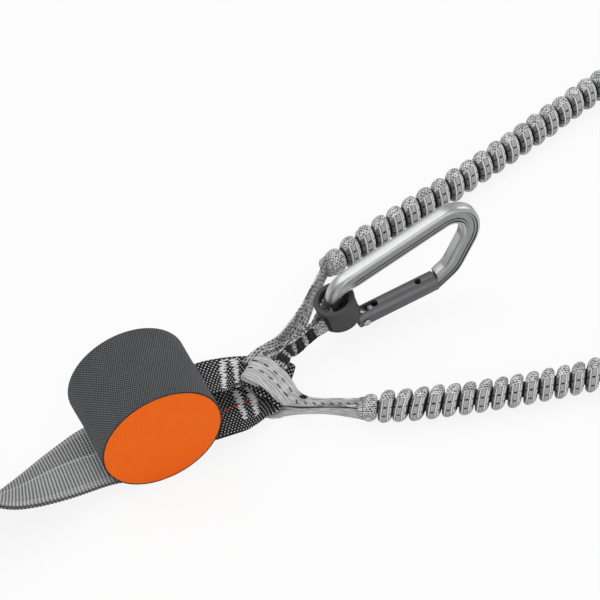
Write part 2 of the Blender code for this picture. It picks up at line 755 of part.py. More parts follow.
def connector_body(name, length, width, lug=False):
    """Forged body: bar, rivet eye, nose face square to the gate, and the key that enters it."""
    body = forged_bar(name, length, width)
    half_tang = tang_half_thick_share * width
    eye = cylinder("rivet_eye", tang_half_width_share * width, (0, 0, -half_tang), (0, 0, half_tang))
    boolean(body, eye, "UNION")
    gate_turn = Matrix.Rotation(-gate_lean, 4, "Z")
    reach = gate_reach_share * length
    face = reach + nose_gap
    wide = nose_clear_share * width
    back = face - wide
    clear = block("nose_cutter", (back, -wide, -wide), (face, nose_top_share * width, wide), gate_turn)
    boolean(body, clear, "DIFFERENCE")
    bore = gate_bore_share * width
    key_half = key_half_width_share * width
    key_low = math.sqrt((bore - 1.5 * seat_gap) ** 2 - key_half ** 2)
    key = block("nose_key", (reach - key_depth_share * width, -key_low, -key_half),
                (face + overrun, bore * key_top_share, key_half), gate_turn)
    boolean(body, key, "UNION")
    hole_radius = rivet_radius_share * width + rivet_clearance
    hole = cylinder("rivet_hole", hole_radius, (0, 0, -width), (0, 0, width), 10)
    boolean(body, hole, "DIFFERENCE")
    if lug:
        pivot = lever_pivot(length, width)
        half = lever_lug_share * width * lug_half_share
        radius = lever_lug_share * width
        disc = cylinder("lever_lug", radius, (*pivot, -half), (*pivot, half), 20)
        boolean(body, disc, "UNION")
        foot = block("lug_foot", (pivot[0] - radius * lug_foot_share, spine_height(width),
                                  -half * lug_foot_share),
                     (pivot[0] + radius * lug_foot_share, pivot[1], half * lug_foot_share))
        boolean(body, foot, "UNION")
        pin_hole = cylinder("lug_hole", lever_pin_share * width + rivet_clearance,
                            (*pivot, -width), (*pivot, width), 16)
        boolean(body, pin_hole, "DIFFERENCE")
    return paint(shade(body), alloy, 0.32, 1.0)


def spine_height(width):
    """Middle of the spine, measured across from the hinge."""
    return bar_corner_shares[2][1] * width


def gate_tube(name, length, width):
    """Tubular gate: stepped bore, fork slot at the hinge, key slot at the tip, drain hole."""
    radius = gate_radius_share * width
    bore = gate_bore_share * width
    reach = gate_reach_share * length
    back = gate_back_share * width
    tube_body = cylinder(name, radius, (-back, 0, 0), (reach, 0, 0), 20)
    seat = gate_seat_share * reach
    for start, end, hole in ((-back - overrun, seat, bore),
                             (seat - overrun, reach, bore * gate_neck_share),
                             (gate_tip_bore_share * reach, reach + overrun, bore)):
        boolean(tube_body, cylinder("bore", hole, (start, 0, 0), (end, 0, 0), 14), "DIFFERENCE")
    slot_half = gate_slot_share * width / 2
    slot_end = fork_slot_share * reach
    fork = block("fork_cutter", (-back - overrun, -bore, -slot_half),
                 (slot_end, radius + overrun, slot_half))
    boolean(tube_body, fork, "DIFFERENCE")
    round_end = cylinder("fork_end", slot_half, (slot_end, 0, 0), (slot_end, radius + overrun, 0), 12)
    boolean(tube_body, round_end, "DIFFERENCE")
    key_half = key_half_width_share * width + rivet_clearance
    key_room = key_depth_share * width + overrun
    key_slot = block("key_cutter", (reach - key_room, -radius - overrun, -key_half),
                     (reach + overrun, 0.0, key_half))
    boolean(tube_body, key_slot, "DIFFERENCE")
    hole_radius = rivet_radius_share * width + rivet_clearance
    hole = cylinder("rivet_hole", hole_radius, (0, 0, -2 * radius), (0, 0, 2 * radius), 10)
    boolean(tube_body, hole, "DIFFERENCE")
    drain_place = drain_place_share * reach
    drain = cylinder("drain", drain_radius_share * width, (drain_place, 0, 0),
                     (drain_place, 2 * radius, 0), 10)
    boolean(tube_body, drain, "DIFFERENCE")
    return paint(shade(tube_body), anodised, 0.42, 0.9)


def gate_rivet(name, width):
    """Headed rivet through the fork and the tang."""
    shank = rivet_radius_share * width
    head = rivet_head_share * width
    under = gate_radius_share * width + seat_gap
    top = under + rivet_head_thick_share * width
    rim = under + (top - under) / 2
    crown = head * rivet_crown_share
    upper = [(0.0, top), (crown, top), (head, rim), (head, under), (shank, under)]
    lower = [(r, -z) for r, z in upper[::-1]]
    profile = upper + lower
    rivet = turned(name, profile, 10, Matrix.Identity(4), closed=False)
    return paint(shade(rivet), (0.8, 0.8, 0.8), 0.25, 1.0)


def gate_spring(suffix, length, width):
    """Return spring in the gate's bore, and the plunger that it presses on the tang."""
    reach = gate_reach_share * length
    coil = spring_coil_share * width
    wire = spring_wire_share * width
    head_start = tang_half_width_share * width + seat_gap
    head_end = head_start + plunger_head_share * width
    start = head_end + seat_gap + wire
    end = gate_seat_share * reach - seat_gap - wire
    turns = np.arange(spring_turns * spring_points_per_turn + 1) / spring_points_per_turn
    angle = 2 * math.pi * turns
    place = start + (end - start) * turns / spring_turns
    points = np.stack([place, coil * np.cos(angle), coil * np.sin(angle)], 1)
    least = (end - start) / spring_turns - 2 * wire
    print("gate_spring" + suffix, "least gap between curls, mm:", round(least * 1000, 2))
    spring = tube("gate_spring" + suffix, points, wire, 0)
    plain = use_mesh_of(spring, "gate_spring" + suffix, Matrix.Identity(4))
    paint(plain, (0.6, 0.6, 0.62), 0.3, 1.0)
    head_radius = gate_bore_share * width - seat_gap
    stem = coil - wire - 2 * seat_gap
    stem_end = head_end + plunger_stem_share * width
    crown = head_radius * plunger_crown_share
    profile = [(0.0, head_start), (crown, head_start), (head_radius, head_start + 2 * seat_gap),
               (head_radius, head_end), (stem, head_end), (stem, stem_end), (0.0, stem_end)]
    plunger = turned("gate_plunger" + suffix, profile[::-1], 10, Matrix.Identity(4), closed=False)
    plunger.data.transform(Matrix.Rotation(math.pi / 2, 4, "Y"))
    return paint(shade(plunger), (0.5, 0.5, 0.5), 0.5, 0.8)


def lever_pivot(length, width):
    """Pin of the palm lever, outside the spine."""
    outside = spine_height(width) + bar_half_width_share * width
    return (lever_start_share * length, outside + lever_lug_share * width * lug_height_share)


def palm_lever(suffix, length, width):
    """Lever along the spine that the palm presses to free the gate, and its pin."""
    pivot = lever_pivot(length, width)
    outside = spine_height(width) + bar_half_width_share * width
    end = lever_end_share * length
    gap = lever_gap_share * width
    thick = lever_thick_share * width
    boss = lever_lug_share * width * lever_boss_share
    near = pivot[0] + boss
    base = outside + 2 * seat_gap
    middle = (near + end) / 2
    belly = outside + lever_over_share * gap + lever_belly_share * thick
    outline = arc(pivot, boss, 120, 240, 6)
    outline += [(near, base), (middle, outside + lever_under_share * gap)]
    outline += arc((end, outside + gap + thick / 2), thick / 2, -90, 90, 6)
    outline += [(middle, belly), (near, pivot[1] + boss)]
    curve = bpy.data.curves.new("lever", "CURVE")
    curve.dimensions = "2D"
    curve.fill_mode = "BOTH"
    curve.extrude = lever_depth_share * width / 2
    spline = curve.splines.new("POLY")
    spline.points.add(len(outline) - 1)
    for knot, (x, y) in zip(spline.points, outline):
        knot.co = (x, y, 0.0, 1.0)
    spline.use_cyclic_u = True
    made = bpy.data.objects.new("lever", curve)
    parts.objects.link(made)
    lever = use_mesh_of(made, "palm_lever" + suffix, Matrix.Identity(4))
    fork_half = lever_lug_share * width * lug_half_share + seat_gap
    room = lever_lug_share * width + 2 * seat_gap
    slot = block("lever_slot", (pivot[0] - 2 * boss, outside - overrun, -fork_half),
                 (pivot[0] + room, pivot[1] + 2 * boss, fork_half))
    boolean(lever, slot, "DIFFERENCE")
    pin_radius = lever_pin_share * width
    hole = cylinder("pin_hole", pin_radius + rivet_clearance, (*pivot, -width), (*pivot, width), 16)
    boolean(lever, hole, "DIFFERENCE")
    paint(shade(lever), anodised, 0.4, 0.9)
    half = lever_depth_share * width / 2
    pin = cylinder("lever_pin" + suffix, pin_radius, (*pivot, -half), (*pivot, half), 16)
    return paint(shade(pin), (0.8, 0.8, 0.8), 0.25, 1.0)


def axis_empty(name, matrix):
    """An empty on a joint's axis that carries the pieces that turn about it."""
    made = bpy.data.objects.new(name, None)
    made.matrix_world = matrix
    parts.objects.link(made)
    return made


def carry(empty, names):
    bpy.context.view_layer.update()
    for name in names:
        piece = bpy.data.objects[name]
        place = piece.matrix_world.copy()
        piece.parent = empty
        piece.matrix_parent_inverse = empty.matrix_world.inverted()
        piece.matrix_world = place


def connector(suffix, length, width, matrix, palm):
    """One connector with its gate, rivet, spring and, where asked, the palm lever."""
    gate_matrix = matrix @ Matrix.Rotation(-gate_lean, 4, "Z")
    body = connector_body("carabiner_body" + suffix, length, width, palm)
    gate_tube("gate_tube" + suffix, length, width)
    gate_rivet("gate_rivet" + suffix, width)
    gate_spring(suffix, length, width)
    moving = [body.name, "gate_rivet" + suffix]
    swinging = ["gate_tube" + suffix, "gate_spring" + suffix, "gate_plunger" + suffix]
    if palm:
        palm_lever(suffix, length, width)
        pivot = lever_pivot(length, width)
        lever_axis = axis_empty("lever_axis" + suffix, matrix @ Matrix.Translation((*pivot, 0)))
        bpy.data.objects["palm_lever" + suffix].matrix_world = matrix
        carry(lever_axis, ["palm_lever" + suffix])
        moving.append("lever_pin" + suffix)
    for name in moving:
        bpy.data.objects[name].matrix_world = matrix
    for name in swinging:
        bpy.data.objects[name].matrix_world = gate_matrix
    carry(axis_empty("gate_axis" + suffix, gate_matrix), swinging)
    basket = bar_corner_shares[1][0] * length
    swing = axis_empty("swing_axis" + suffix, matrix @ Matrix.Translation((basket, 0, 0)))
    carry(swing, moving)
    return matrix @ Vector((basket, 0, 0))


def keeper(name, inner, wall, height, matrix, window):
    """Rubber ring that holds the webbing on a basket, with a window where the webbing goes in."""
    half = height / 2
    outer = inner + wall
    soft = keeper_rim_round
    profile = (arc((outer - soft, half - soft), soft, 90, 0, 2)
               + arc((outer - soft, soft - half), soft, 0, -90, 2)
               + [(inner, -half), (inner, half)])
    ring = turned(name, profile, 24, Matrix.Identity(4))
    boolean(ring, window, "DIFFERENCE")
    ring.matrix_world = matrix
    return paint(shade(ring), rubber_black, 0.65)


def sling(bar, along, across):
    """Webbing from the yoke round the basket bar inside the keeper, and back beside itself."""
    stations = laid(sling_shares)
    first = strip_rows(stations, 12)
    half = np.array(across) * sling_half_width
    wrap = bar_round_share * rest_width + wrap_clearance + webbing_thickness / 2
    ahead, level = np.array(along), np.array((0.0, 1.0, 0.0))
    going = [np.array(bar) + wrap * (ahead * math.cos(a) + level * math.sin(a))
             for a in np.radians(np.linspace(-90, 90, 13))]
    lead = [row[1] for row in first]
    side = webbing_thickness + sling_ply_gap
    back = []
    for k in range(len(lead) - 1, 3, -1):
        step = lead[min(k + 1, len(lead) - 1)] - lead[k - 1]
        beside = np.array((-step[1], step[0], 0)) / math.hypot(step[0], step[1])
        back.append((lead[k] + beside * side, (first[k][2] - first[k][0]) / 2))
    leave = [(going[0] - ahead * wrap / 2, half)]
    enter = [(going[-1] - ahead * wrap / 2, half)]
    stations = [(m, (row[2] - row[0]) / 2) for m, row in zip(lead, first)][:-1]
    stations += leave + [(p, half) for p in going] + enter + back
    rows = strip_rows(stations, 46)
    return paint(sheet("carabiner_sling", rows, webbing_thickness), cloth_grey, 0.9)


def gathered_sleeve(name, route):
    """Pleated tubular webbing: tilted rings of crest and valley radius round a plain bore."""
    line = smooth_line(route, 400)
    length = np.linalg.norm(np.diff(line, axis=0), axis=1).sum()
    pleats = round((length - 2 * neck_length) / pleat_pitch)
    stops = np.linspace(neck_length, length - neck_length, 2 * pleats + 1)
    radii = np.where(np.arange(2 * pleats + 1) % 2 == 1, crest_radius, valley_radius)
    stops = np.concatenate([[0], stops, [length]])
    radii = np.concatenate([[valley_radius], radii, [valley_radius]])
    tilts = np.full(len(stops), math.tan(pleat_tilt))
    ramp = len(end_tilt_shares)
    tilts[:ramp] *= end_tilt_shares
    tilts[-ramp:] *= end_tilt_shares[::-1]
    along = np.concatenate([[0], np.cumsum(np.linalg.norm(np.diff(line, axis=0), axis=1))])
    tangent, side, upright = frames(line)

    def at(values):
        return np.stack([np.interp(stops, along, values[:, k]) for k in range(3)], 1)

    centre, t, s, u = at(line), at(tangent), at(side), at(upright)
    angle = 2 * math.pi * (np.arange(sleeve_sides) + 0.5) / sleeve_sides

    def ring(k, radius, tilt):
        return [centre[k] + radius * (math.cos(a) * s[k] + math.sin(a) * u[k])
                + t[k] * tilt * radius * math.cos(a) for a in angle]

    rings = [ring(k, radii[k], tilts[k]) for k in range(len(stops))]
    bore = [ring(k, sleeve_bore_radius, 0.0) for k in range(len(stops) - 1, 0, -bore_step)]
    bore.append(ring(0, sleeve_bore_radius, 0.0))
    hoops = rings + bore
    count = len(hoops)
    points = [p for hoop in hoops for p in hoop]
    faces = []
    for i in range(count):
        n = (i + 1) % count
        for j in range(sleeve_sides):
            k = (j + 1) % sleeve_sides
            faces.append((i * sleeve_sides + j, i * sleeve_sides + k,
                          n * sleeve_sides + k, n * sleeve_sides + j))
    made = mesh_part(name, points, faces)
    bm = bmesh.new()
    bm.from_mesh(made.data)
    bmesh.ops.recalc_face_normals(bm, faces=bm.faces)
    bm.to_mesh(made.data)
    bm.free()
    print(name, "route mm:", round(length * 1000, 1), "pleats:", pleats)
    return paint(shade(made, math.radians(60)), cloth_grey, 0.9)


def elastic_core(name, route):
    """Rubber core inside a gathered sleeve."""
    line = smooth_line(route, 36)
    length = np.linalg.norm(np.diff(line, axis=0), axis=1).sum()
    share = core_inset / length
    trimmed = line[2:-2]
    start = line[0] + (line[1] - line[0]) / np.linalg.norm(line[1] - line[0]) * share * length
    stop = line[-1] + (line[-2] - line[-1]) / np.linalg.norm(line[-2] - line[-1]) * share * length
    core = tube(name, np.vstack([start, trimmed, stop]), core_radius, 1)
    plain = use_mesh_of(core, name, Matrix.Identity(4))
    return paint(shade(plain, math.radians(60)), (0.5, 0.5, 0.48), 0.7)


def arm_eye(name, end, bar, wrap_radius):
    """Sewn webbing eye from the end of an arm round a connector's basket."""
    half = np.array((0, eye_half_width, 0))
    root = end[0] + seat_gap
    ply = webbing_thickness / 2 + sling_ply_gap / 2
    wrap = wrap_radius + seat_gap + webbing_thickness / 2
    y = end[1]
    turn = [(bar[0] + wrap * math.cos(a), bar[2] + wrap * math.sin(a))
            for a in np.radians(np.linspace(eye_wrap_degrees, -eye_wrap_degrees, 12))]
    near = root + eye_root_share * (turn[0][0] - root)
    top = [(root, end[2] + ply), (near, end[2] + ply)]
    bottom = [(near, end[2] - ply), (root, end[2] - ply)]
    for along, apart in eye_fan_shares:
        x = near + along * (turn[0][0] - near)
        top.append((x, end[2] + ply + apart * (turn[0][1] - end[2] - ply)))
        bottom.insert(0, (x, end[2] - ply + apart * (turn[-1][1] - end[2] + ply)))
    stations = [((x, y, z), half) for x, z in top + turn + bottom]
    rows = strip_rows(stations, 36)
    return paint(sheet(name, rows, webbing_thickness), cloth_grey, 0.9)


pouch_sleeve()
pouch_panel("pouch_end_front", (0.80, 0.13, 0.012), -1)
pouch_panel("pouch_end_back", (0.075, 0.077, 0.081), 1)
piping("piping_front", -1)
piping("piping_back", 1)
tear_webbing()
harness_loop()
load_strap()
yoke()

rest_hinge = [share * lay_length for share in rest_hinge_shares]
rest_frame = connector_frame(rest_hinge, rest_rise, True)
rest_axis_point = connector("_rest", rest_length, rest_width, rest_frame, False)
rest_across = rest_frame.to_3x3() @ Vector((0, 1, 0))
keeper_place = rest_axis_point + rest_across * basket_middle_share * rest_width
rest_along = rest_frame.to_3x3() @ Vector((1, 0, 0))
sling(keeper_place, rest_along, rest_across)

keeper_frame = Matrix.Translation(keeper_place) @ Matrix.Rotation(-keeper_tilt, 4, "Y")
window_reach = 2 * (keeper_inner_radius + keeper_wall)
window_half = sling_half_width + window_clearance
window_drop = (keeper_inner_radius + keeper_wall / 2) * math.sin(rest_rise - keeper_tilt)
window = block("window_cutter", (-window_reach, -window_width / 2, -window_drop - window_half),
               (0.0, window_width / 2, window_half - window_drop))
keeper("sling_keeper_rest", keeper_inner_radius, keeper_wall, keeper_height, keeper_frame, window)

for suffix, route in (("_upper", upper_arm_route), ("_right", right_arm_route)):
    gathered_sleeve("arm_sleeve" + suffix, route)
    elastic_core("arm_core" + suffix, route)
    arm_end = route[-1]
    basket_half = basket_middle_share * end_width
    bar_x = arm_end[0] + end_bar_share * end_width
    drop = math.asin((end_rod_height - bar_half_thick_share * end_width - seat_gap) / end_length)
    hinge = (bar_x - bar_corner_shares[1][0] * end_length, arm_end[1] - basket_half, end_rod_height)
    end_frame = (Matrix.Translation((bar_x, hinge[1], end_rod_height)) @ Matrix.Rotation(drop, 4, "Y")
                 @ Matrix.Translation((hinge[0] - bar_x, 0, 0)))
    connector(suffix, end_length, end_width, end_frame, True)
    bar_place = (bar_x, arm_end[1], end_rod_height)
    wrap_radius = bar_round_share * end_width
    arm_eye("arm_eye" + suffix, arm_end, bar_place, wrap_radius)
    ring_inner = wrap_radius + webbing_thickness + 3 * seat_gap
    ring_frame = Matrix.Translation(bar_place) @ Matrix.Rotation(math.pi / 2, 4, "X")
    slot = block("eye_window", (-3 * ring_inner, -ring_inner, -eye_half_width - seat_gap),
                 (0.0, ring_inner, eye_half_width + seat_gap))
    keeper("sling_keeper" + suffix, ring_inner, end_ring_wall, 2 * eye_half_width + end_ring_margin,
           ring_frame, slot)

print("objects:", len([o for o in parts.objects if o.type == "MESH"]))
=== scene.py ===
"""Via ferrata lanyard: the looks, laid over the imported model's frame. Metres, +Z up."""
# %% [markdown]
# # A via ferrata lanyard
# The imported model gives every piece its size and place, and this script gives it its looks.
# Soft pieces are rebuilt as surfaces from formulas on the same routes as the model's own,
# and metal pieces are rebuilt finer in their joints' frames. Nothing is simulated: the pouch
# is a taut sewn drum and the webbing is stiff, so formulas hold their forms.

# %%
import json
import math

import bmesh
import bpy
import numpy as np
from mathutils import Matrix, Vector


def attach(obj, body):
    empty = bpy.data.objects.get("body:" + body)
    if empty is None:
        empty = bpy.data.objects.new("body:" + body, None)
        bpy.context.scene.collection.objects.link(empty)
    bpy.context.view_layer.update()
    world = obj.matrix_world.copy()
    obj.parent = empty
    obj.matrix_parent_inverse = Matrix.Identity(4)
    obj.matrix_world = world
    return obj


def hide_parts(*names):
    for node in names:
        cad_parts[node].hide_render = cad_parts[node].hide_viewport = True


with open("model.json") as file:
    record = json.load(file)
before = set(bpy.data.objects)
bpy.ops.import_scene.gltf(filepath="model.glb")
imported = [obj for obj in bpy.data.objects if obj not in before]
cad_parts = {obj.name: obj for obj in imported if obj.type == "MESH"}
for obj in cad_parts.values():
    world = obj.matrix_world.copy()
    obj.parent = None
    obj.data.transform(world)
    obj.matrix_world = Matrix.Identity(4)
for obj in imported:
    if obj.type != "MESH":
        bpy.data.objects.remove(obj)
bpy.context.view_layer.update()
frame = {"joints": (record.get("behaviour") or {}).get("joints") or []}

# %% [markdown]
# ## Camera
# A long lens, from the front left and well above, as in the photograph.

# %%
camera_azimuth, camera_height = math.radians(-26), math.radians(47)
camera_distance = 1.0
camera_aim = Vector((0.11083, 0.05585, 0.0))
camera_back = Vector((math.sin(camera_azimuth) * math.cos(camera_height),
                      -math.cos(camera_azimuth) * math.cos(camera_height),
                      math.sin(camera_height)))
scene = bpy.context.scene
lens = bpy.data.cameras.new("camera")
lens.lens = 113
lens.sensor_width = 36
camera = bpy.data.objects.new("camera", lens)
camera.location = camera_aim + camera_back * camera_distance
camera.rotation_euler = camera_back.to_track_quat("Z", "Y").to_euler()
scene.collection.objects.link(camera)
scene.camera = camera

# %% [markdown]
# ## Shader wiring
# A Wire stands for a value in a shader. Wires add, subtract and multiply as numbers do, so
# each pattern below reads as its formula. Patterns that several finishes share are node
# groups, and they give only masks and heights.

# %%


def feed(tree, value, socket):
    """Links a wire to a socket, or sets the socket to a plain value."""
    if isinstance(value, Wire):
        tree.links.new(value.socket, socket)
    elif isinstance(value, tuple):
        socket.default_value = (*value, 1.0) if len(value) == 3 and socket.type == "RGBA" else value
    else:
        socket.default_value = value


class Wire:
    """A number that flows through a node tree."""

    def __init__(self, tree, socket):
        self.tree, self.socket = tree, socket

    def do(self, operation, *others):
        """The result of a math node on this wire and the others."""
        node = self.tree.nodes.new("ShaderNodeMath")
        node.operation = operation
        for value, socket in zip((self, *others), node.inputs):
            feed(self.tree, value, socket)
        return Wire(self.tree, node.outputs[0])

    def __add__(self, other):
        return self.do("ADD", other)

    def __sub__(self, other):
        return self.do("SUBTRACT", other)

    def __mul__(self, other):
        return self.do("MULTIPLY", other)

    def __truediv__(self, other):
        return self.do("DIVIDE", other)

    def inside(self, edge, soft):
        """1 where the value is below edge, 0 above it, with a soft step between."""
        node = self.tree.nodes.new("ShaderNodeMapRange")
        node.interpolation_type = "SMOOTHSTEP"
        feed(self.tree, self, node.inputs["Value"])
        for socket, value in zip(list(node.inputs)[1:5], (edge - soft, edge + soft, 1.0, 0.0)):
            socket.default_value = value
        return Wire(self.tree, node.outputs[0])


def vector(tree, x, y, z=0.0):
    """Three numbers as one wire."""
    node = tree.nodes.new("ShaderNodeCombineXYZ")
    for value, socket in zip((x, y, z), node.inputs):
        feed(tree, value, socket)
    return Wire(tree, node.outputs[0])


def noise(tree, place, scale, detail=3.0, rough=0.55):
    """Smooth noise about a half, at a place in the pattern."""
    node = tree.nodes.new("ShaderNodeTexNoise")
    feed(tree, place, node.inputs["Vector"])
    for label, value in (("Scale", scale), ("Detail", detail), ("Roughness", rough)):
        node.inputs[label].default_value = value
    return Wire(tree, node.outputs["Fac"])


def mix(tree, share, first, second):
    """Colour between first and second."""
    node = tree.nodes.new("ShaderNodeMix")
    node.data_type = "RGBA"
    for value, socket in zip((share, first, second), (node.inputs[0], node.inputs[6], node.inputs[7])):
        feed(tree, value, socket)
    return Wire(tree, node.outputs[2])


def group(name, inputs, outputs, wiring):
    """A shared node group: wiring takes the tree and the input wires, and gives the outputs."""
    tree = bpy.data.node_groups.new(name, "ShaderNodeTree")
    for label, kind in inputs:
        tree.interface.new_socket(label, in_out="INPUT", socket_type="NodeSocket" + kind)
    for label in outputs:
        tree.interface.new_socket(label, in_out="OUTPUT", socket_type="NodeSocketFloat")
    entry, leave = tree.nodes.new("NodeGroupInput"), tree.nodes.new("NodeGroupOutput")
    results = wiring(tree, *[Wire(tree, socket) for socket in list(entry.outputs)[:len(inputs)]])
    for result, socket in zip(results, leave.inputs):
        feed(tree, result, socket)
    return tree


def use(tree, shared, *values):
    """Puts a shared group in a tree and gives its outputs."""
    node = tree.nodes.new("ShaderNodeGroup")
    node.node_tree = shared
    for value, socket in zip(values, node.inputs):
        feed(tree, value, socket)
    return [Wire(tree, socket) for socket in node.outputs]


# %% [markdown]
# ## Shared patterns
# Four patterns recur in many finishes, so each is one node group: the yarns of a plain weave,
# staggered flecks, yarn fuzz, and the handling marks of hard pieces. The cloth patterns take
# their pitches in the units of the surface's map.

# %%


def woven(tree, along, across, along_pitch, across_pitch):
    """Plain weave: a cell is a warp or a weft yarn in turn, a pillow that dips at its ends."""
    a, b = along / along_pitch, across / across_pitch
    warp = (a.do("FLOOR") + b.do("FLOOR")).do("FLOORED_MODULO", 2.0)
    bulge_a = ((a.do("FRACT") - 0.5) * math.pi).do("COSINE")
    bulge_b = ((b.do("FRACT") - 0.5) * math.pi).do("COSINE")
    long_a = bulge_a.do("POWER", 0.4) * bulge_b
    long_b = bulge_b.do("POWER", 0.4) * bulge_a
    return ((long_b - long_a) * warp + long_a,)


def flecked(tree, along, across, along_pitch, across_pitch, length, width, ragged):
    """Staggered flecks: one oval in each cell, every second row half a cell on."""
    b = across / across_pitch
    a = along / along_pitch + b.do("FLOOR") * 0.5
    x = (a.do("FRACT") - 0.5) / length
    y = (b.do("FRACT") - 0.5) / width
    cell = vector(tree, a.do("FLOOR"), b.do("FLOOR"))
    dice = tree.nodes.new("ShaderNodeTexWhiteNoise")
    feed(tree, cell, dice.inputs["Vector"])
    chance = Wire(tree, dice.outputs["Value"])
    grain = noise(tree, vector(tree, a, b), 2.3, 2.0)
    size = x.do("POWER", 2.0) + y.do("POWER", 2.0)
    size = size + (grain - 0.5) * ragged + (chance - 0.5) * ragged * 0.4
    return size.inside(0.25, 0.09), chance


def fibrous(tree, along, across):
    """Yarn fuzz: fine noise drawn out along the yarns, and slow handling marks."""
    fine = noise(tree, vector(tree, along * 900, across * 3200), 1.0, 2.0)
    slow = noise(tree, vector(tree, along * 70, across * 90), 1.0, 3.0)
    return fine, slow


def handled(tree, place):
    """Wear on metal and rubber: hairline scratches and faint smears."""
    node = tree.nodes.new("ShaderNodeMapping")
    feed(tree, place, node.inputs["Vector"])
    node.inputs["Scale"].default_value = (90, 1500, 1500)
    node.inputs["Rotation"].default_value = (0.3, 0.4, 0.5)
    scratch = noise(tree, Wire(tree, node.outputs[0]), 1.0, 4.0, 0.7)
    smear = noise(tree, place, 85, 3.0)
    grit = noise(tree, place, 2600, 2.0)
    return scratch, smear, grit


def number(*labels):
    """Group inputs that are plain numbers."""
    return [(label, "Float") for label in labels]


weave = group("woven cells", number("Along", "Across", "Along Pitch", "Across Pitch"),
              ("Height",), woven)
flecks = group("staggered flecks", number("Along", "Across", "Along Pitch", "Across Pitch",
                                          "Length", "Width", "Ragged"), ("Mask", "Chance"), flecked)
fibres = group("yarn fibres", number("Along", "Across"), ("Fine", "Slow"), fibrous)
handling = group("handling marks", [("Place", "Vector")], ("Scratch", "Smear", "Grit"), handled)

# %% [markdown]
# ## Finishes
# Cloth reads its coordinates from the surface's own map, in metres along and across the
# webbing, so every pitch is a real size. Metal, rubber and plastic use object coordinates.

# %%


def start(name, metallic=0.0):
    """A new material with its tree and Principled shader."""
    made = bpy.data.materials.new(name)
    made.use_nodes = True
    shader = made.node_tree.nodes["Principled BSDF"]
    shader.inputs["Metallic"].default_value = metallic
    return made, made.node_tree, shader


def settle(tree, shader, colour, roughness, height=None, depth=0.0):
    """Feeds the shader, with height as a bump so many metres deep."""
    feed(tree, colour, shader.inputs["Base Color"])
    feed(tree, roughness, shader.inputs["Roughness"])
    if height is not None:
        bump = tree.nodes.new("ShaderNodeBump")
        bump.inputs["Distance"].default_value = depth
        feed(tree, height, bump.inputs["Height"])
        tree.links.new(bump.outputs[0], shader.inputs["Normal"])


def surface_map(tree):
    """The two coordinates of a surface's own map, in metres."""
    node = tree.nodes.new("ShaderNodeSeparateXYZ")
    tree.links.new(tree.nodes.new("ShaderNodeUVMap").outputs[0], node.inputs[0])
    return Wire(tree, node.outputs[0]), Wire(tree, node.outputs[1])


def object_place(tree):
    """The object's own coordinates, in metres."""
    return Wire(tree, tree.nodes.new("ShaderNodeTexCoord").outputs["Object"])


def band_mask(value, centre, half, soft):
    """1 within half of centre."""
    return (value - centre).do("ABSOLUTE").inside(half, soft)


def ripple(value, pitch, wave="SINE"):
    """Swings between 0 and 1 once in every pitch."""
    return (value * (2 * math.pi / pitch)).do(wave) * 0.5 + 0.5


def cloth(name, low, high, pitches, depth, pattern=None, rough=0.85, sheen=0.1):
    """Woven cloth: yarn pillows from low to high colour, fuzz, and the pattern drawn on them."""
    made, tree, shader = start(name)
    along, across = surface_map(tree)
    height = use(tree, weave, along, across, *pitches)[0]
    fine, slow = use(tree, fibres, along, across)
    tone = height * 0.62 + fine * 0.5 + (slow - 0.5) * 0.45 - 0.12
    colour = mix(tree, tone.do("MINIMUM", 1.0).do("MAXIMUM", 0.0), low, high)
    if pattern:
        colour, height = pattern(tree, along, across, colour, height)
    settle(tree, shader, colour, (fine - 0.5) * 0.2 + rough, height + fine * 0.3, depth)
    shader.inputs["Sheen Weight"].default_value = sheen
    shader.inputs["Specular IOR Level"].default_value = 0.2
    return made


# %% [markdown]
# ## Patterns drawn on the cloth
# Each webbing has its own marks: ribs and a crease on the harness tape, white flecks and a red
# tracer on the strap, drawn-out yarns on the yoke, and dark flecks on strand and sling. A
# pattern takes the two coordinates in metres with the cloth's colour and height, and gives
# back both.

# %%
tape_half, tape_rib_pitch = 0.020, 0.0017


def tape_pattern(tree, along, across, colour, height):
    """Harness tape: pale ribs between dark lines, crossed by dark warp lines, a pale crease along its
    middle, two dotted rows and a dark selvedge. The far half is painted in shade, with its warp lines
    drawn stronger and its ribs deeper."""
    rib = ripple(along, tape_rib_pitch)
    # painted shade: far marks the half of the tape that is drawn darker
    far = across.do("MULTIPLY", -1.0).inside(0.0, 0.001)
    depth = rib.do("POWER", 1.2) * (far * 0.10 + 0.84)
    colour = mix(tree, depth, colour, (0.045, 0.046, 0.048))
    warp = ripple(across, 0.0019).do("POWER", 2.0)
    colour = mix(tree, warp * (far * 0.5 + 0.12), colour, (0.05, 0.051, 0.053))
    crease = band_mask(across, 0.0, 0.0005, 0.0003)
    colour = mix(tree, crease * 0.7, colour, (0.66, 0.66, 0.66))
    inwards = across.do("ABSOLUTE").do("MULTIPLY", -1.0) + tape_half
    rows = band_mask(inwards, 0.0034, 0.0004, 0.0002) + band_mask(inwards, 0.0019, 0.0004, 0.0002)
    dots = ripple(along, tape_rib_pitch, "COSINE").inside(0.5, 0.25)
    colour = mix(tree, rows * dots * 0.8, colour, (0.74, 0.74, 0.74))
    colour = mix(tree, inwards.inside(0.0004, 0.0002) * 0.8, colour, (0.05, 0.05, 0.052))
    return colour, height * 0.5 + rib


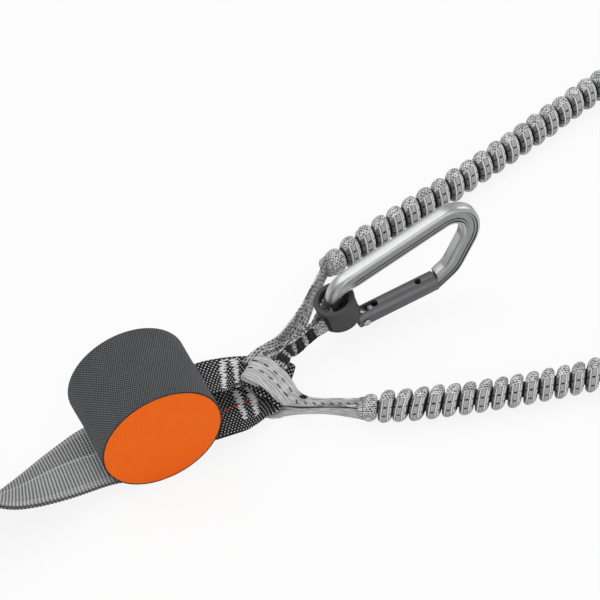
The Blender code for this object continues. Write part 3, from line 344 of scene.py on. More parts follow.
def strap_pattern(tree, along, across, colour, height):
    """Load strap: white flecks in a staggered grid, and a red tracer on the lower ply."""
    spot, chance = use(tree, flecks, along, across, 0.0021, 0.0014, 0.42, 0.54, 0.45)
    colour = mix(tree, spot * (chance * 0.5 + 0.50), colour, (0.86, 0.86, 0.86))
    lower_ply = along.do("MULTIPLY", -1.0).inside(-0.068, 0.0005)
    dash = ((along / 0.00265).do("FRACT") - 0.5).do("ABSOLUTE").inside(0.27, 0.05)
    run = across + along * 0.16
    tracer = band_mask(run, 0.01644, 0.00055, 0.0001) * dash * lower_ply
    return mix(tree, tracer, colour, (0.86, 0.028, 0.014)), height + spot * 0.5


def yoke_pattern(tree, along, across, colour, height):
    """Yoke webbing: pale warp yarns drawn out along it, between thin dark lines."""
    streak = noise(tree, vector(tree, along * 110, across * 1900), 1.0, 2.0, 0.65)
    tone = ((streak - 0.33) * 3.2).do("MAXIMUM", 0.0).do("MINIMUM", 1.0)
    warp = ripple(across, 0.0013)
    drawn = mix(tree, tone, (0.14, 0.142, 0.146), (0.82, 0.82, 0.825))
    return mix(tree, 0.78, colour, drawn), height * 0.3 + warp * 0.4 + tone * 0.6


def mesh_pattern(tree, along, across, colour, height):
    """Stretched strand: pale mesh with dark flecks drawn out along it."""
    spot, chance = use(tree, flecks, along, across, 0.0029, 0.00150, 0.80, 0.66, 1.1)
    return mix(tree, spot * (chance * 0.2 + 0.8), colour, (0.010, 0.010, 0.011)), height - spot * 0.4


def sling_pattern(tree, along, across, colour, height):
    """Sling: the same mesh, with painted shadow where it runs inside the keeper."""
    colour, height = mesh_pattern(tree, along, across, colour, height)
    # painted shadow: the sling is drawn near black where the keeper's inside would shade it
    painted_keeper_shadow = band_mask(along, 0.0485, 0.0105, 0.0004)
    return mix(tree, painted_keeper_shadow, colour, (0.020, 0.020, 0.021)), height


def pouch_pattern(tree, along, across, colour, height):
    """Pouch cloth: twill lines of small pale dots across the drum's own weave."""
    twill = ripple(along + across * 0.6, 0.00125)
    cross = ripple(along - across * 0.9, 0.00145)
    worn = noise(tree, vector(tree, along * 55, across * 55), 1.0, 3.0)
    dots = (twill * cross).do("POWER", 1.4)
    shade = dots * (worn * 0.7 + 0.45)
    return mix(tree, shade, colour, (0.30, 0.305, 0.315)), height * 0.5 + dots * 0.6


# %% [markdown]
# ## Cloth finishes
# Each is named, then given its dark and its light yarn colour, its two yarn pitches and the
# depth of its weave. All yarn is rough, so its roughness is high and its shine low.

# %%
finishes = {
    "tape": cloth("harness_tape", (0.36, 0.365, 0.37), (0.80, 0.80, 0.805), (0.0017, 0.0011), 0.00022,
                  tape_pattern),
    "pouch": cloth("pouch_cloth", (0.022, 0.023, 0.025), (0.060, 0.062, 0.066), (0.0011, 0.0009),
                   0.00014, pouch_pattern, 0.9, 0.05),
    "orange": cloth("end_panel_orange", (0.96, 0.120, 0.004), (1.0, 0.200, 0.010),
                    (0.0010, 0.0010), 0.00008, None, 0.9, 0.0),
    "grey_panel": cloth("end_panel_grey", (0.042, 0.043, 0.046), (0.092, 0.094, 0.099),
                        (0.0008, 0.0008), 0.0001, None, 0.9, 0.1),
    "piping": cloth("piping_cord", (0.006, 0.006, 0.007), (0.03, 0.03, 0.032), (0.0012, 0.0007),
                    0.00012, None, 0.8, 0.1),
    "strap": cloth("load_strap_weave", (0.005, 0.005, 0.006), (0.024, 0.024, 0.026),
                   (0.0012, 0.00075), 0.0002, strap_pattern, 0.8, 0.0),
    "yoke": cloth("yoke_webbing", (0.40, 0.402, 0.406), (0.66, 0.66, 0.665), (0.0011, 0.0007),
                  0.00012, yoke_pattern),
    "strand": cloth("strand_mesh", (0.36, 0.362, 0.366), (0.96, 0.96, 0.965), (0.0013, 0.0009),
                    0.0002, mesh_pattern),
    "sling": cloth("sling_mesh", (0.36, 0.362, 0.366), (0.96, 0.96, 0.965), (0.0013, 0.0009),
                   0.0002, sling_pattern),
    "tear": cloth("tear_webbing_weave", (0.22, 0.22, 0.21), (0.5, 0.49, 0.46), (0.0016, 0.0010),
                  0.0002),
    "thread_white": cloth("thread_white", (0.74, 0.74, 0.74), (1.0, 1.0, 1.0),
                          (0.0006, 0.0006), 0.0001),
    "thread_black": cloth("thread_black", (0.008, 0.008, 0.009), (0.035, 0.035, 0.038),
                          (0.0006, 0.0006), 0.0001),
}

# %% [markdown]
# ## Metal, rubber and plastic
# Hard pieces share one recipe: hairline scratches, smears and fine grit shift both tone and
# gloss. The forged alloy adds shade in the grooves of its bar.

# %%


def groove_shade(tree, tone):
    """Shade at the foot of the forged grooves' two steps. The bar's map counts widths along it
    and shares of a turn round it."""
    run, share = surface_map(tree)
    from_face = ((share * 2).do("FRACT") - 0.5).do("ABSOLUTE")
    steps = band_mask(from_face, 0.093, 0.016, 0.008) + band_mask(from_face, 0.221, 0.020, 0.008)
    grooved = run.do("MULTIPLY", -1.0).inside(-0.76, 0.08)
    # painted shade: the groove faces are drawn darker than the bar's flanks
    tone = mix(tree, from_face.inside(0.22, 0.01) * grooved * 0.55, tone, (0.20, 0.202, 0.206))
    return mix(tree, steps * grooved, tone, (0.035, 0.035, 0.037))


def hard(name, colour, roughness, metallic, grit=0.00001, pattern=None):
    """Metal, rubber or plastic: handling marks shift its tone and its gloss."""
    made, tree, shader = start(name, metallic)
    scratch, smear, fine = use(tree, handling, object_place(tree))
    lines = (scratch - 0.55).do("MAXIMUM", 0.0) * 1.5
    dark = tuple(value * 0.78 for value in colour)
    tone = mix(tree, (smear - 0.3).do("MAXIMUM", 0.0).do("MINIMUM", 1.0), dark, colour)
    if pattern:
        tone = pattern(tree, tone)
    settle(tree, shader, tone, lines + (smear - 0.5) * 0.16 + roughness, fine + scratch * 0.5, grit)
    return made


finishes.update({
    "alloy": hard("satin_alloy", (0.64, 0.645, 0.65), 0.30, 1.0, 0.000012, groove_shade),
    "anodised": hard("anodised_grey", (0.19, 0.192, 0.197), 0.38, 0.75),
    "rubber": hard("keeper_rubber", (0.060, 0.061, 0.064), 0.55, 0.0, 0.00004),
    "steel": hard("bright_steel", (0.72, 0.72, 0.73), 0.22, 1.0),
    "lever": hard("lever_grey", (0.10, 0.102, 0.107), 0.42, 0.6),
    "nylon": hard("plunger_nylon", (0.5, 0.5, 0.5), 0.5, 0.0),
})

# %% [markdown]
# ## The gathered arm's finish
# A pleat shows a grey band on its crest between pale lines, a shoulder painted pale as lit and a valley
# painted dark as shade, and mesh at its two edges. The creases between pleats are painted near black as
# shade. The map counts pleats, so the finish follows every pleat of either arm whatever its pitch.

# %%


def sleeve_finish():
    """Gathered arm: its two faces carry a grey crest band between pale lines, with two dark dashes, and
    its edges are pale mesh with dark dots. The shoulder on one side of each lobe is painted pale as lit,
    the flank on the other side is painted dark as shaded, and the lobe's far ends and the mesh in the
    creases between pleats are painted near black as shade. The map's first coordinate counts the pleats
    and its second goes once round from the upper face's middle."""
    made, tree, shader = start("gathered_webbing")
    count, round_share = surface_map(tree)
    full_sweep, dash_place, face_half = 210.0, 15.5, 44.0
    usual_pleat, usual_girth = 0.0092, 0.052
    lobe = (count.do("FRACT") - 0.5) * full_sweep
    angle = ((round_share + 0.5).do("FRACT") - 0.5).do("ABSOLUTE") * 360
    angle = (angle - 90).do("ABSOLUTE").do("MULTIPLY", -1.0) + 90
    fine = use(tree, fibres, count * usual_pleat, round_share * 0.05)[0]
    mottle = noise(tree, vector(tree, count * 17, round_share * 62), 1.0, 2.0, 0.7)
    lobe = lobe + (mottle - 0.5) * 5
    lines = ripple(lobe, 14.0)
    rough_tone = mottle * 0.9 + fine * 0.4 - 0.15
    # painted shade: the flank at negative lobe angles is a dark copy of the shoulder's weave
    painted_shade_flank = mix(tree, lines * 0.6 + (mottle - 0.4) * 1.4, (0.022, 0.022, 0.023), (0.34, 0.34, 0.345))
    pale = mix(tree, rough_tone, (0.56, 0.56, 0.565), (1.0, 1.0, 1.0))
    # painted light: the shoulder at positive lobe angles is a pale copy of the same weave
    painted_light_shoulder = mix(tree, lines * 0.5 + (mottle - 0.35), (0.20, 0.20, 0.203), (0.86, 0.86, 0.86))
    crest = mix(tree, rough_tone, (0.24, 0.242, 0.246), (0.62, 0.622, 0.628))
    # dark is painted shade, for the lobe's far ends where the pleats meet
    dark, seam = (0.026, 0.026, 0.027), (0.085, 0.085, 0.087)
    face = mix(tree, lobe.inside(70, 8), dark, painted_light_shoulder)
    # Bands by lobe angle: from 41 to 70 the lobe is painted pale as lit, and from -33 down it is painted
    # dark as shaded; the lines and the crest between are the weave's own
    for edge, soft, tone in ((56, 2, pale), (41, 1.5, seam), (36, 1.5, pale), (22, 1.5, seam),
                             (17, 1.5, crest), (-17, 1.5, seam), (-22, 1.5, pale), (-33, 2, painted_shade_flank),
                             (-82, 6, dark)):
        face = mix(tree, lobe.inside(edge, soft), face, tone)
    dash = band_mask(angle, dash_place, 3.0, 0.8)
    reach = band_mask(lobe, 0, 13, 2) + band_mask(lobe, -56, 16, 3) + band_mask(lobe, 56, 8, 2)
    face = mix(tree, dash * reach, face, (0.006, 0.006, 0.007))
    spot, chance = use(tree, flecks, count * usual_pleat, round_share * usual_girth,
                       0.00115, 0.00140, 0.78, 0.70, 1.1)
    netting = mix(tree, lines * 0.3 + mottle * 0.8, (0.50, 0.50, 0.504), (1.0, 1.0, 1.0))
    netting = mix(tree, spot * (chance * 0.2 + 0.8), netting, (0.010, 0.010, 0.011))
    gathered = count.do("MULTIPLY", -1.0).inside(-0.9, 0.05)
    # painted shade: the mesh is drawn near black in the crease between pleats
    crease = lobe.do("ABSOLUTE").inside(86, 8).do("MULTIPLY", -1.0) + 1
    netting = mix(tree, crease * gathered, netting, (0.045, 0.045, 0.046))
    on_face = (angle + (mottle - 0.5) * 22).inside(face_half, 4) * gathered
    colour = mix(tree, on_face, netting, face)
    height = lines * 0.4 + fine * 0.3 + mottle * 0.6 - spot * 0.5
    settle(tree, shader, colour, (fine - 0.5) * 0.2 + 0.85, height, 0.00022)
    shader.inputs["Specular IOR Level"].default_value = 0.2
    return made


finishes["sleeve"] = sleeve_finish()

# %% [markdown]
# ## Surfaces
# A patch is a grid of points with its own map. Rows and columns may close on themselves, and
# open ends are capped, so that every piece is one closed skin with its faces outwards.

# %%


def unit(values):
    """Each vector at length 1."""
    return values / np.linalg.norm(values, axis=-1)[..., None]


def running(points):
    """Length run from the first point of a line to each."""
    return np.concatenate([[0.0], np.cumsum(np.linalg.norm(np.diff(points, axis=0), axis=1))])


def circle(count):
    """So many even angles of one turn."""
    return np.linspace(0, 2 * math.pi, count, endpoint=False)


def grid(first, second):
    """A map whose coordinates run with the rows and with the columns."""
    return np.stack(np.meshgrid(first, second, indexing="ij"), -1)


def patch(points, uv, wrap_rows=False, wrap_columns=True, caps=True):
    """Quads between neighbouring rows and columns of points, as (points, faces, corner map).
    The map has one more row or column than the points where they wrap."""
    rows, columns = points.shape[:2]
    i, j = np.meshgrid(np.arange(rows if wrap_rows else rows - 1),
                       np.arange(columns if wrap_columns else columns - 1), indexing="ij")
    a, b = (i + 1) % rows, (j + 1) % columns
    faces = np.stack([i * columns + j, i * columns + b, a * columns + b, a * columns + j], -1)
    corners = np.stack([uv[i, j], uv[i, j + 1], uv[i + 1, j + 1], uv[i + 1, j]], -2)
    faces, corners = faces.reshape(-1, 4).tolist(), corners.reshape(-1, 2)
    if caps and not wrap_rows:
        first, last = list(range(columns))[::-1], list(range((rows - 1) * columns, rows * columns))
        faces += [first, last]
        corners = np.vstack([corners, uv[0, :columns][::-1], uv[-1, :columns]])
    return points.reshape(-1, 3), faces, corners


def outward(points, faces, corners):
    """Turns a patch's faces over if they enclose a negative volume."""
    quads = np.array([face for face in faces if len(face) == 4])
    middle = points.mean(0)
    p = points[quads] - middle
    volume = (np.cross(p[:, 0], p[:, 1]) * p[:, 2]).sum() + (np.cross(p[:, 0], p[:, 2]) * p[:, 3]).sum()
    for face in faces:
        if len(face) > 4:
            fan = points[face] - middle
            volume += (np.cross(fan[:1], fan[1:-1]) * fan[2:]).sum()
    if volume > 0:
        return points, faces, corners
    ends = np.cumsum([len(face) for face in faces])
    turned_map = np.vstack([corners[end - len(face):end][::-1] for face, end in zip(faces, ends)])
    return points, [face[::-1] for face in faces], turned_map


def raw(name, patches, weld=False):
    """One object from closed patches."""
    points, faces, maps, base = [], [], [], 0
    for made in patches:
        p, f, m = outward(*made)
        points.append(p)
        faces += [[k + base for k in face] for face in f] if base else f
        maps.append(m)
        base += len(p)
    mesh = bpy.data.meshes.new(name)
    mesh.from_pydata(np.vstack(points).tolist(), [], faces)
    layer = mesh.uv_layers.new(name="surface")
    layer.uv.foreach_set("vector", np.vstack(maps).astype(np.float32).ravel())
    if weld:
        bm = bmesh.new()
        bm.from_mesh(mesh)
        bmesh.ops.remove_doubles(bm, verts=bm.verts, dist=0.000002)
        bmesh.ops.recalc_face_normals(bm, faces=bm.faces)
        bm.to_mesh(mesh)
        bm.free()
    made = bpy.data.objects.new(name, mesh)
    scene.collection.objects.link(made)
    return made


def present(piece, finish, body, nodes=(), place=None, smooth=38):
    """Puts a finished mesh in the world frame, gives it its finish and its body."""
    if place is not None:
        piece.data.transform(place)
    piece.data.shade_smooth()
    piece.data.set_sharp_from_angle(angle=math.radians(smooth))
    piece.data.materials.clear()
    piece.data.materials.append(finishes[finish])
    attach(piece, body)
    if nodes:
        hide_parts(*nodes)


# %% [markdown]
# ## Cutting and turning
# Metal pieces start as turned or lofted blanks. Holes, slots and lugs are cut from them or
# joined to them as rods and blocks, and then their sharp edges are rounded.

# %%


def applied(target, step):
    """Makes the result of a modifier the target's own mesh."""
    bpy.context.view_layer.update()
    seen = target.evaluated_get(bpy.context.evaluated_depsgraph_get())
    mesh = bpy.data.meshes.new_from_object(seen)
    target.modifiers.remove(step)
    old, target.data = target.data, mesh
    bpy.data.meshes.remove(old)


def carve(target, tool, operation="DIFFERENCE"):
    """Cuts target by tool, or joins tool to it, and applies the result."""
    step = target.modifiers.new("carve", "BOOLEAN")
    step.operation = operation
    step.object = tool
    step.solver = "EXACT"
    applied(target, step)
    bpy.data.objects.remove(tool, do_unlink=True)


def bevelled(target, width):
    """Rounds a piece's edges that are sharper than 50 degrees."""
    step = target.modifiers.new("edges", "BEVEL")
    step.width = width
    step.segments = 2
    step.limit_method = "ANGLE"
    step.angle_limit = math.radians(50)
    applied(target, step)


def turned(profile, sides, closed=True, wobble=None):
    """Spins (radius, height) points round Z. wobble changes the points, given their angles."""
    profile = np.array(profile, float)
    angle = circle(sides)[:, None]
    radius, height = profile[None, :, 0], profile[None, :, 1]
    points = np.stack([radius * np.cos(angle), radius * np.sin(angle),
                       np.broadcast_to(height, (sides, len(profile)))], -1)
    if wobble:
        points = wobble(points, angle)
    across = running(np.vstack([profile, profile[:1]]))[:len(profile) + closed]
    round_way = np.linspace(0, 2 * math.pi, sides + 1) * profile[:, 0].max()
    return patch(points, grid(round_way, across), wrap_rows=True, wrap_columns=closed)


def arc(centre, radius, first, last, steps):
    """Points of an arc in a plane, angles in degrees."""
    turn = np.radians(np.linspace(first, last, steps + 1))
    return [(centre[0] + radius * math.cos(a), centre[1] + radius * math.sin(a)) for a in turn]


def rod(radius, start_point, end_point, sides=48):
    """A closed cylinder for cutting or joining."""
    start_point, end_point = Vector(start_point), Vector(end_point)
    along = end_point - start_point
    bm = bmesh.new()
    place = (Matrix.Translation((start_point + end_point) / 2)
             @ along.to_track_quat("Z", "Y").to_matrix().to_4x4())
    bmesh.ops.create_cone(bm, cap_ends=True, segments=sides, radius1=radius, radius2=radius,
                          depth=along.length, matrix=place)
    return tool_object(bm)


def block(low, high, turn=None):
    """A closed box between two corners, for cutting or joining."""
    low, high = Vector(low), Vector(high)
    bm = bmesh.new()
    bmesh.ops.create_cube(bm, size=1.0)
    bmesh.ops.scale(bm, vec=high - low, verts=bm.verts)
    bmesh.ops.translate(bm, vec=(low + high) / 2, verts=bm.verts)
    if turn is not None:
        bmesh.ops.transform(bm, matrix=turn, verts=bm.verts)
    return tool_object(bm)


def tool_object(bm):
    """A passing object from a built mesh, used up by the next carve."""
    mesh = bpy.data.meshes.new("tool")
    bm.to_mesh(mesh)
    bm.free()
    made = bpy.data.objects.new("tool", mesh)
    scene.collection.objects.link(made)
    return made


# %% [markdown]
# ## Lines, threads and webbing
# Soft pieces follow smooth lines through a few stations. A thread is a round tube on a line,
# and a strip is webbing: a line with a half width to either side, on which stitches are laid
# by how far along it they go and how far across.

# %%


def smooth_line(points, count):
    """Catmull-Rom curve through the points, sampled at even steps of its length."""
    p = np.array(points, float)
    p = np.vstack([2 * p[0] - p[1], p, 2 * p[-1] - p[-2]])
    t = np.linspace(0, 1, 24, endpoint=False)[:, None]
    runs = []
    for a, b, c, d in zip(p[:-3], p[1:-2], p[2:-1], p[3:]):
        runs.append(0.5 * (2 * b + (c - a) * t + (2 * a - 5 * b + 4 * c - d) * t ** 2
                           + (3 * b - a - 3 * c + d) * t ** 3))
    fine = np.vstack(runs + [p[-2:-1]])
    along = running(fine[:, :3])
    want = np.linspace(0, along[-1], count)
    return np.stack([np.interp(want, along, fine[:, k]) for k in range(p.shape[1])], 1)


def thread(line, radius, sides=6, taper=True):
    """A round thread along a line of points, drawn in at its ends."""
    line = np.array(line, float)
    tangent = unit(np.gradient(line, axis=0))
    upright = (0.0, 0.0, 1.0) if abs(tangent[:, 2]).mean() < 0.8 else (1.0, 0.0, 0.0)
    side = unit(np.cross(upright, tangent))
    normal = np.cross(tangent, side)
    angle = circle(sides)[None, :, None]
    thick = np.full(len(line), radius)
    if taper:
        thick[[0, -1]] *= 0.45
    points = line[:, None] + thick[:, None, None] * (np.cos(angle) * side[:, None]
                                                     + np.sin(angle) * normal[:, None])
    return patch(points, grid(running(line), np.linspace(0, 2 * math.pi * radius, sides + 1)))


class Strip:
    """Webbing's middle surface: rows of centre, front half and back half along its length."""

    crease = 0.06

    def __init__(self, rows):
        self.rows = np.array(rows, float)
        self.along = running(self.rows[:, :3])
        self.length = self.along[-1]

    def values(self, s):
        """Centre, front half and back half at s metres along."""
        picked = np.stack([np.interp(s, self.along, column) for column in self.rows.T], -1)
        return picked[..., :3], picked[..., 3:6], picked[..., 6:]

    def middle(self, s, c):
        """Centre plus c of the half on that side, with the fold at c = 0 rounded."""
        centre, front, back = self.values(s)
        far = (np.sqrt(c * c + self.crease ** 2) + c) / 2
        return centre + (far - c)[..., None] * front + far[..., None] * back

    def at(self, s, c, lift=0.0):
        """Points s metres along, c from -1 to 1 across and lift metres off the middle."""
        s, c, lift = np.broadcast_arrays(np.asarray(s, float), np.asarray(c, float), lift)
        step = 0.0004
        ahead = (self.middle(np.clip(s + step, 0, self.length), c)
                 - self.middle(np.clip(s - step, 0, self.length), c))
        beside = self.middle(s, c + 0.03) - self.middle(s, c - 0.03)
        return self.middle(s, c) + lift[..., None] * unit(np.cross(ahead, beside))

    def skin(self, thickness, spacing=0.0007, around=40, rib=(0.0017, 0.00008)):
        """Closed webbing: flat faces, rounded selvedges and low ribs across."""
        s = np.linspace(0, self.length, max(8, int(self.length / spacing)))[:, None]
        turn = circle(around)[None, :]
        c, face = -np.cos(turn), np.sin(turn)
        side = np.sign(face) * np.abs(face) ** 0.35
        wave = np.cos(2 * math.pi * s / rib[0])
        lift = side * (thickness / 2 + rib[1] * wave * np.abs(face) ** 0.6)
        points = self.at(s, c * (1 + 0.012 * wave * (1 - np.abs(face))), lift)
        half = np.linalg.norm(self.values(s[:, 0])[2], axis=-1)[:, None]
        across = np.hstack([c, c[:, :1]]) * half
        uv = np.stack([np.broadcast_to(s, across.shape), across], -1)
        return patch(points, uv)

    def zigzag(self, place, slant, low, high, teeth, width, lift, seed=0, uneven=0.35):
        """A bartack: teeth of thread along the strip, stepping across it from low to high. Each
        tooth's point falls a little short or long, and a little to one side."""
        knots = np.arange(2 * teeth + 1)
        chance = np.random.default_rng(seed)
        reach = width / 2 * (-1.0) ** knots * (1 + uneven * (chance.random(len(knots)) - 0.5))
        step = (high - low) / (2 * teeth)
        stops = np.linspace(low, high, len(knots)) + step * (chance.random(len(knots)) - 0.5)
        fine = np.linspace(0, 2 * teeth, 8 * teeth + 1)
        c = np.clip(np.interp(fine, knots, stops), -0.97, 0.97)
        s = place + slant * c + np.interp(fine, knots, reach)
        return self.at(s, c, lift)

    def dash(self, first, last, lift, dip=0.0004):
        """One running stitch from first to last (s, c) that dips into the cloth at both ends."""
        t = np.linspace(0, 1, 7)
        s, c = (a + (b - a) * t for a, b in zip(first, last))
        return self.at(s, c, lift - dip * np.abs(2 * t - 1) ** 4)


millimetre = 0.001


def laid(stations):
    """Stations (middle, half width) in millimetres, as rows of a strip. A station with unlike
    halves gives its front half before its back half."""
    rows = [(*middle, *(halves[0] if len(halves) == 2 else np.negative(halves[0])), *halves[-1])
            for middle, *halves in stations]
    return np.array(rows) * millimetre


def strip_of(stations, count=400):
    """The strip on a smooth line through the stations."""
    return Strip(smooth_line(laid(stations), count))


strap_thickness, webbing_thickness, sling_ply_gap = 0.0020, 0.0015, 0.0004


def lay_webbing(name, strip, finish, node, skin=(webbing_thickness, 0.0005, 36)):
    """One strip's skin as a piece."""
    present(raw(name, [strip.skin(*skin)]), finish, "lanyard", (node,), smooth=60)


def sew(name, lines, radius, finish="thread_black"):
    """Stitches of round thread as a piece."""
    stitches = raw(name, [thread(line, radius) for line in lines])
    present(stitches, finish, "lanyard", smooth=180)


# %% [markdown]
# ## The two gathered arms
# They are the cords of this object: tubular webbing drawn up in pleats over an elastic core.
# The routes repeat the model's own points. Each pleat is a lobe whose far side leans ahead,
# and the map counts pleats along and turns round, for the finish to draw the weave by.

# %%
arm_height = 0.0090
arm_points = {
    "_upper": [
        (0.1305, 0.0634), (0.1550, 0.0707), (0.1800, 0.0776), (0.2040, 0.0841), (0.2269, 0.0905),
        (0.2620, 0.1010), (0.3000, 0.1132), (0.3300, 0.1230), (0.3500, 0.1290), (0.3680, 0.1330),
        (0.3870, 0.1340), (0.4060, 0.1320), (0.4250, 0.1262), (0.4440, 0.1176), (0.4630, 0.1082),
        (0.4820, 0.0996), (0.5000, 0.0938), (0.5180, 0.0914), (0.5280, 0.0912),
    ],
    "_right": [
        (0.1021, -0.0313), (0.1300, -0.0414), (0.1593, -0.0505), (0.1900, -0.0580), (0.2214, -0.0639),
        (0.2500, -0.0684), (0.2800, -0.0720), (0.3200, -0.0748), (0.3600, -0.0762), (0.4000, -0.0768),
        (0.4400, -0.0770), (0.4800, -0.0770), (0.5100, -0.0770),
    ],
}
arm_routes = {suffix: [(x, y, arm_height) for x, y in points]
              for suffix, points in arm_points.items()}
pleat_pitches = {"_upper": 0.0112, "_right": 0.0083}
neck_length, pleat_tilt = 0.0004, math.radians(24)
lobe_sweep, lobe_reach_share = math.radians(105), 0.435
lobe_middle_radius, lobe_rise = 0.0049, 0.0034
face_angle, arm_sides, dome_count = math.radians(30), 60, 0.3


def gathered_arm(suffix, route, seed):
    """Pleat k is a lobe about its middle: as the lobe angle a runs from -105 to 105 degrees,
    the point goes reach * sin(a) along and rise * cos(a) ^ 0.9 outwards, then leans ahead by
    the tilt times how far to the far side it lies. End pleats are drawn in, and a small dome
    closes each end round the webbing that is sewn into it."""
    line = smooth_line(route, 600)
    along = running(line)
    length = along[-1]
    pleats = round((length - 2 * neck_length) / pleat_pitches[suffix])
    pitch = (length - 2 * neck_length) / pleats
    chance = np.random.default_rng(seed)
    lobe = np.linspace(-lobe_sweep, lobe_sweep, 23)
    number_of = np.repeat(np.arange(pleats), len(lobe))
    angle = np.tile(lobe, pleats)
    sine, cosine = np.sin(angle), np.cos(angle)
    reach = lobe_reach_share * pitch * sine
    rise = lobe_rise * np.sign(cosine) * np.abs(cosine) ** 0.9
    swell = (1 + 0.06 * (chance.random(pleats) - 0.5))[number_of]
    from_end = np.minimum(number_of, pleats - 1 - number_of)
    swell = swell * np.interp(from_end, (0, 1, 2), (0.84, 0.95, 1.0))
    lean = (1 + 0.25 * (chance.random(pleats) - 0.5))[number_of] * math.tan(pleat_tilt)
    lean = lean * np.interp(from_end, (0, 2), (0.35, 1.0))
    place = neck_length + (number_of + 0.5) * pitch + reach
    dome_reach = np.array((-0.0021, -0.0018, -0.0011, -0.0002))
    dome_radius = np.array((0.0012, 0.0040, 0.0052, 0.0056))
    radius = (lobe_middle_radius + rise) * swell
    outer_side = ((number_of == 0) & (angle < 0)) | ((number_of == pleats - 1) & (angle > 0))
    radius = np.where(outer_side, np.maximum(radius, dome_radius[-1]), radius)
    place = np.concatenate([dome_reach, place, length - dome_reach[::-1]])
    radius = np.concatenate([dome_radius, radius, dome_radius[::-1]])
    flat = np.zeros(len(dome_reach))
    lean = np.concatenate([flat, lean, flat])
    within_pleat = angle / (2 * lobe_sweep) * 0.999
    count = np.concatenate([flat + dome_count, number_of + 0.5 + within_pleat, flat + pleats - dome_count])
    tangent = unit(np.gradient(line, axis=0))
    side = unit(np.cross((0.0, 0.0, 1.0), tangent))
    upright = np.cross(tangent, side)
    centre, t, far, up = (np.stack([np.interp(place, along, v[:, k]) for k in range(3)], -1)
                          for v in (line, tangent, side, upright))
    beyond = place - np.clip(place, 0, length)
    centre = centre + beyond[:, None] * t
    turn = (face_angle + circle(arm_sides))[None, :, None]
    ripple = 1 + 0.012 * np.sin(5 * turn + np.floor(count)[:, None, None] * 1.9)
    r = radius[:, None, None] * ripple
    outwards = -np.cos(turn) * far[:, None] + np.sin(turn) * up[:, None]
    points = centre[:, None] + r * outwards - r * lean[:, None, None] * np.cos(turn) * t[:, None]
    share = np.linspace(0, 1, arm_sides + 1)[None, :]
    uv = np.stack(np.broadcast_arrays(count[:, None], share), -1)
    piece = raw("gathered_arm" + suffix, [patch(points, uv)])
    nodes = ("arm_sleeve" + suffix, "arm_core" + suffix)
    present(piece, "sleeve", "lanyard", nodes, smooth=180)
    return piece, length


arms = {suffix: gathered_arm(suffix, arm_routes[suffix], seed)
        for suffix, seed in (("_upper", 3), ("_right", 8))}

# %% [markdown]
# ## Absorber pouch
# A taut cloth drum between two end panels. It lies on a narrow flat, its wall draws in a
# little between the rims, and mouths let out the harness tape and the two plies of the strap.

# %%
pouch_radius, pouch_width, pouch_wall = 0.031, 0.045, 0.0015
pouch_flat_depth, rim_round = 0.0005, 0.0004
pouch_centre_height = pouch_radius - pouch_flat_depth
pouch_half = pouch_width / 2
pouch_frame = Matrix.Translation((0, 0, pouch_centre_height)) @ Matrix.Rotation(math.pi / 2, 4, "X")
panel_radius, panel_thickness, panel_dome = 0.0301, 0.0018, 0.0004
panel_lift, panel_edge, piping_radius = 0.0006, 0.0002, 0.00040
tape_mouth_shares, strap_mouth_shares = (-0.70, -0.25), (0.70, 0.30)
mouth_room, tape_mouth_rise, strap_mouth_rise = 0.0012, (-0.0035, 0.0025), (-0.0024, 0.0026)
fold_layers, fold_pitch, fold_half_run = 10, 0.0036, 0.0155
fold_lowest, fold_half_width, fold_thickness = 0.0093, 0.019, 0.0020


def pouch_wobble(points, angle):
    """Cloth over a packed fold of webbing: a shallow waist, three slow waves and small dents,
    with nothing below the flat."""
    height = points[..., 2] / pouch_half
    radius = np.hypot(points[..., 0], points[..., 1])
    calm = 1 - height ** 4
    waves = 0.00022 * np.sin(3 * angle + 1.3) + 0.00012 * np.sin(7 * angle + 4 * height)
    waves = waves - 0.00035 * (1 - height ** 2)
    scale = 1 + calm * waves / radius
    lowest = -pouch_centre_height + (pouch_radius - radius)
    x, y = points[..., 0] * scale, np.maximum(points[..., 1] * scale, lowest)
    return np.stack([x, y, points[..., 2]], -1)


def pouch():
    """The drum's wall, turned as one closed profile, with its three mouths cut through."""
    rim, top = pouch_radius - rim_round, pouch_half - rim_round
    inner, inside = pouch_radius - pouch_wall, 0.0004
    profile = arc((rim, top), rim_round, 90, 0, 6)
    profile += [(pouch_radius, h) for h in np.linspace(top, -top, 42)[1:-1]]
    profile += arc((rim, -top), rim_round, 0, -90, 6)
    profile += [(inner - inside, -pouch_half)] + [(inner, h) for h in np.linspace(-top, top, 16)]
    profile += [(inner - inside, pouch_half)]
    drum = raw("pouch_shell", [turned(profile, 150, True, pouch_wobble)])
    drum.data.transform(pouch_frame)
    tape = (np.array(tape_middle_stations) * millimetre)[:, 2]
    upper, lower = laid(strap_upper_stations)[1], laid(strap_lower_stations)[-2]
    near, far = (pouch_radius * share for share in tape_mouth_shares)
    carve(drum, block((near, -tape_half - mouth_room, tape[1] + tape_mouth_rise[0]),
                      (far, tape_half + mouth_room, tape[3] + tape_mouth_rise[1])))
    for ply, reach in zip((upper, lower), strap_mouth_shares):
        half = np.linalg.norm(ply[6:]) + mouth_room
        carve(drum, block((pouch_radius * reach, ply[1] - half, ply[2] + strap_mouth_rise[0]),
                          (pouch_radius + mouth_room, ply[1] + half, ply[2] + strap_mouth_rise[1])))
    present(drum, "pouch", "lanyard", ("pouch_sleeve",))


def pouch_side(side):
    """The frame of the front end (side -1) or of the back end (side 1)."""
    return pouch_frame @ Matrix.Rotation(0 if side < 0 else math.pi, 4, "X")


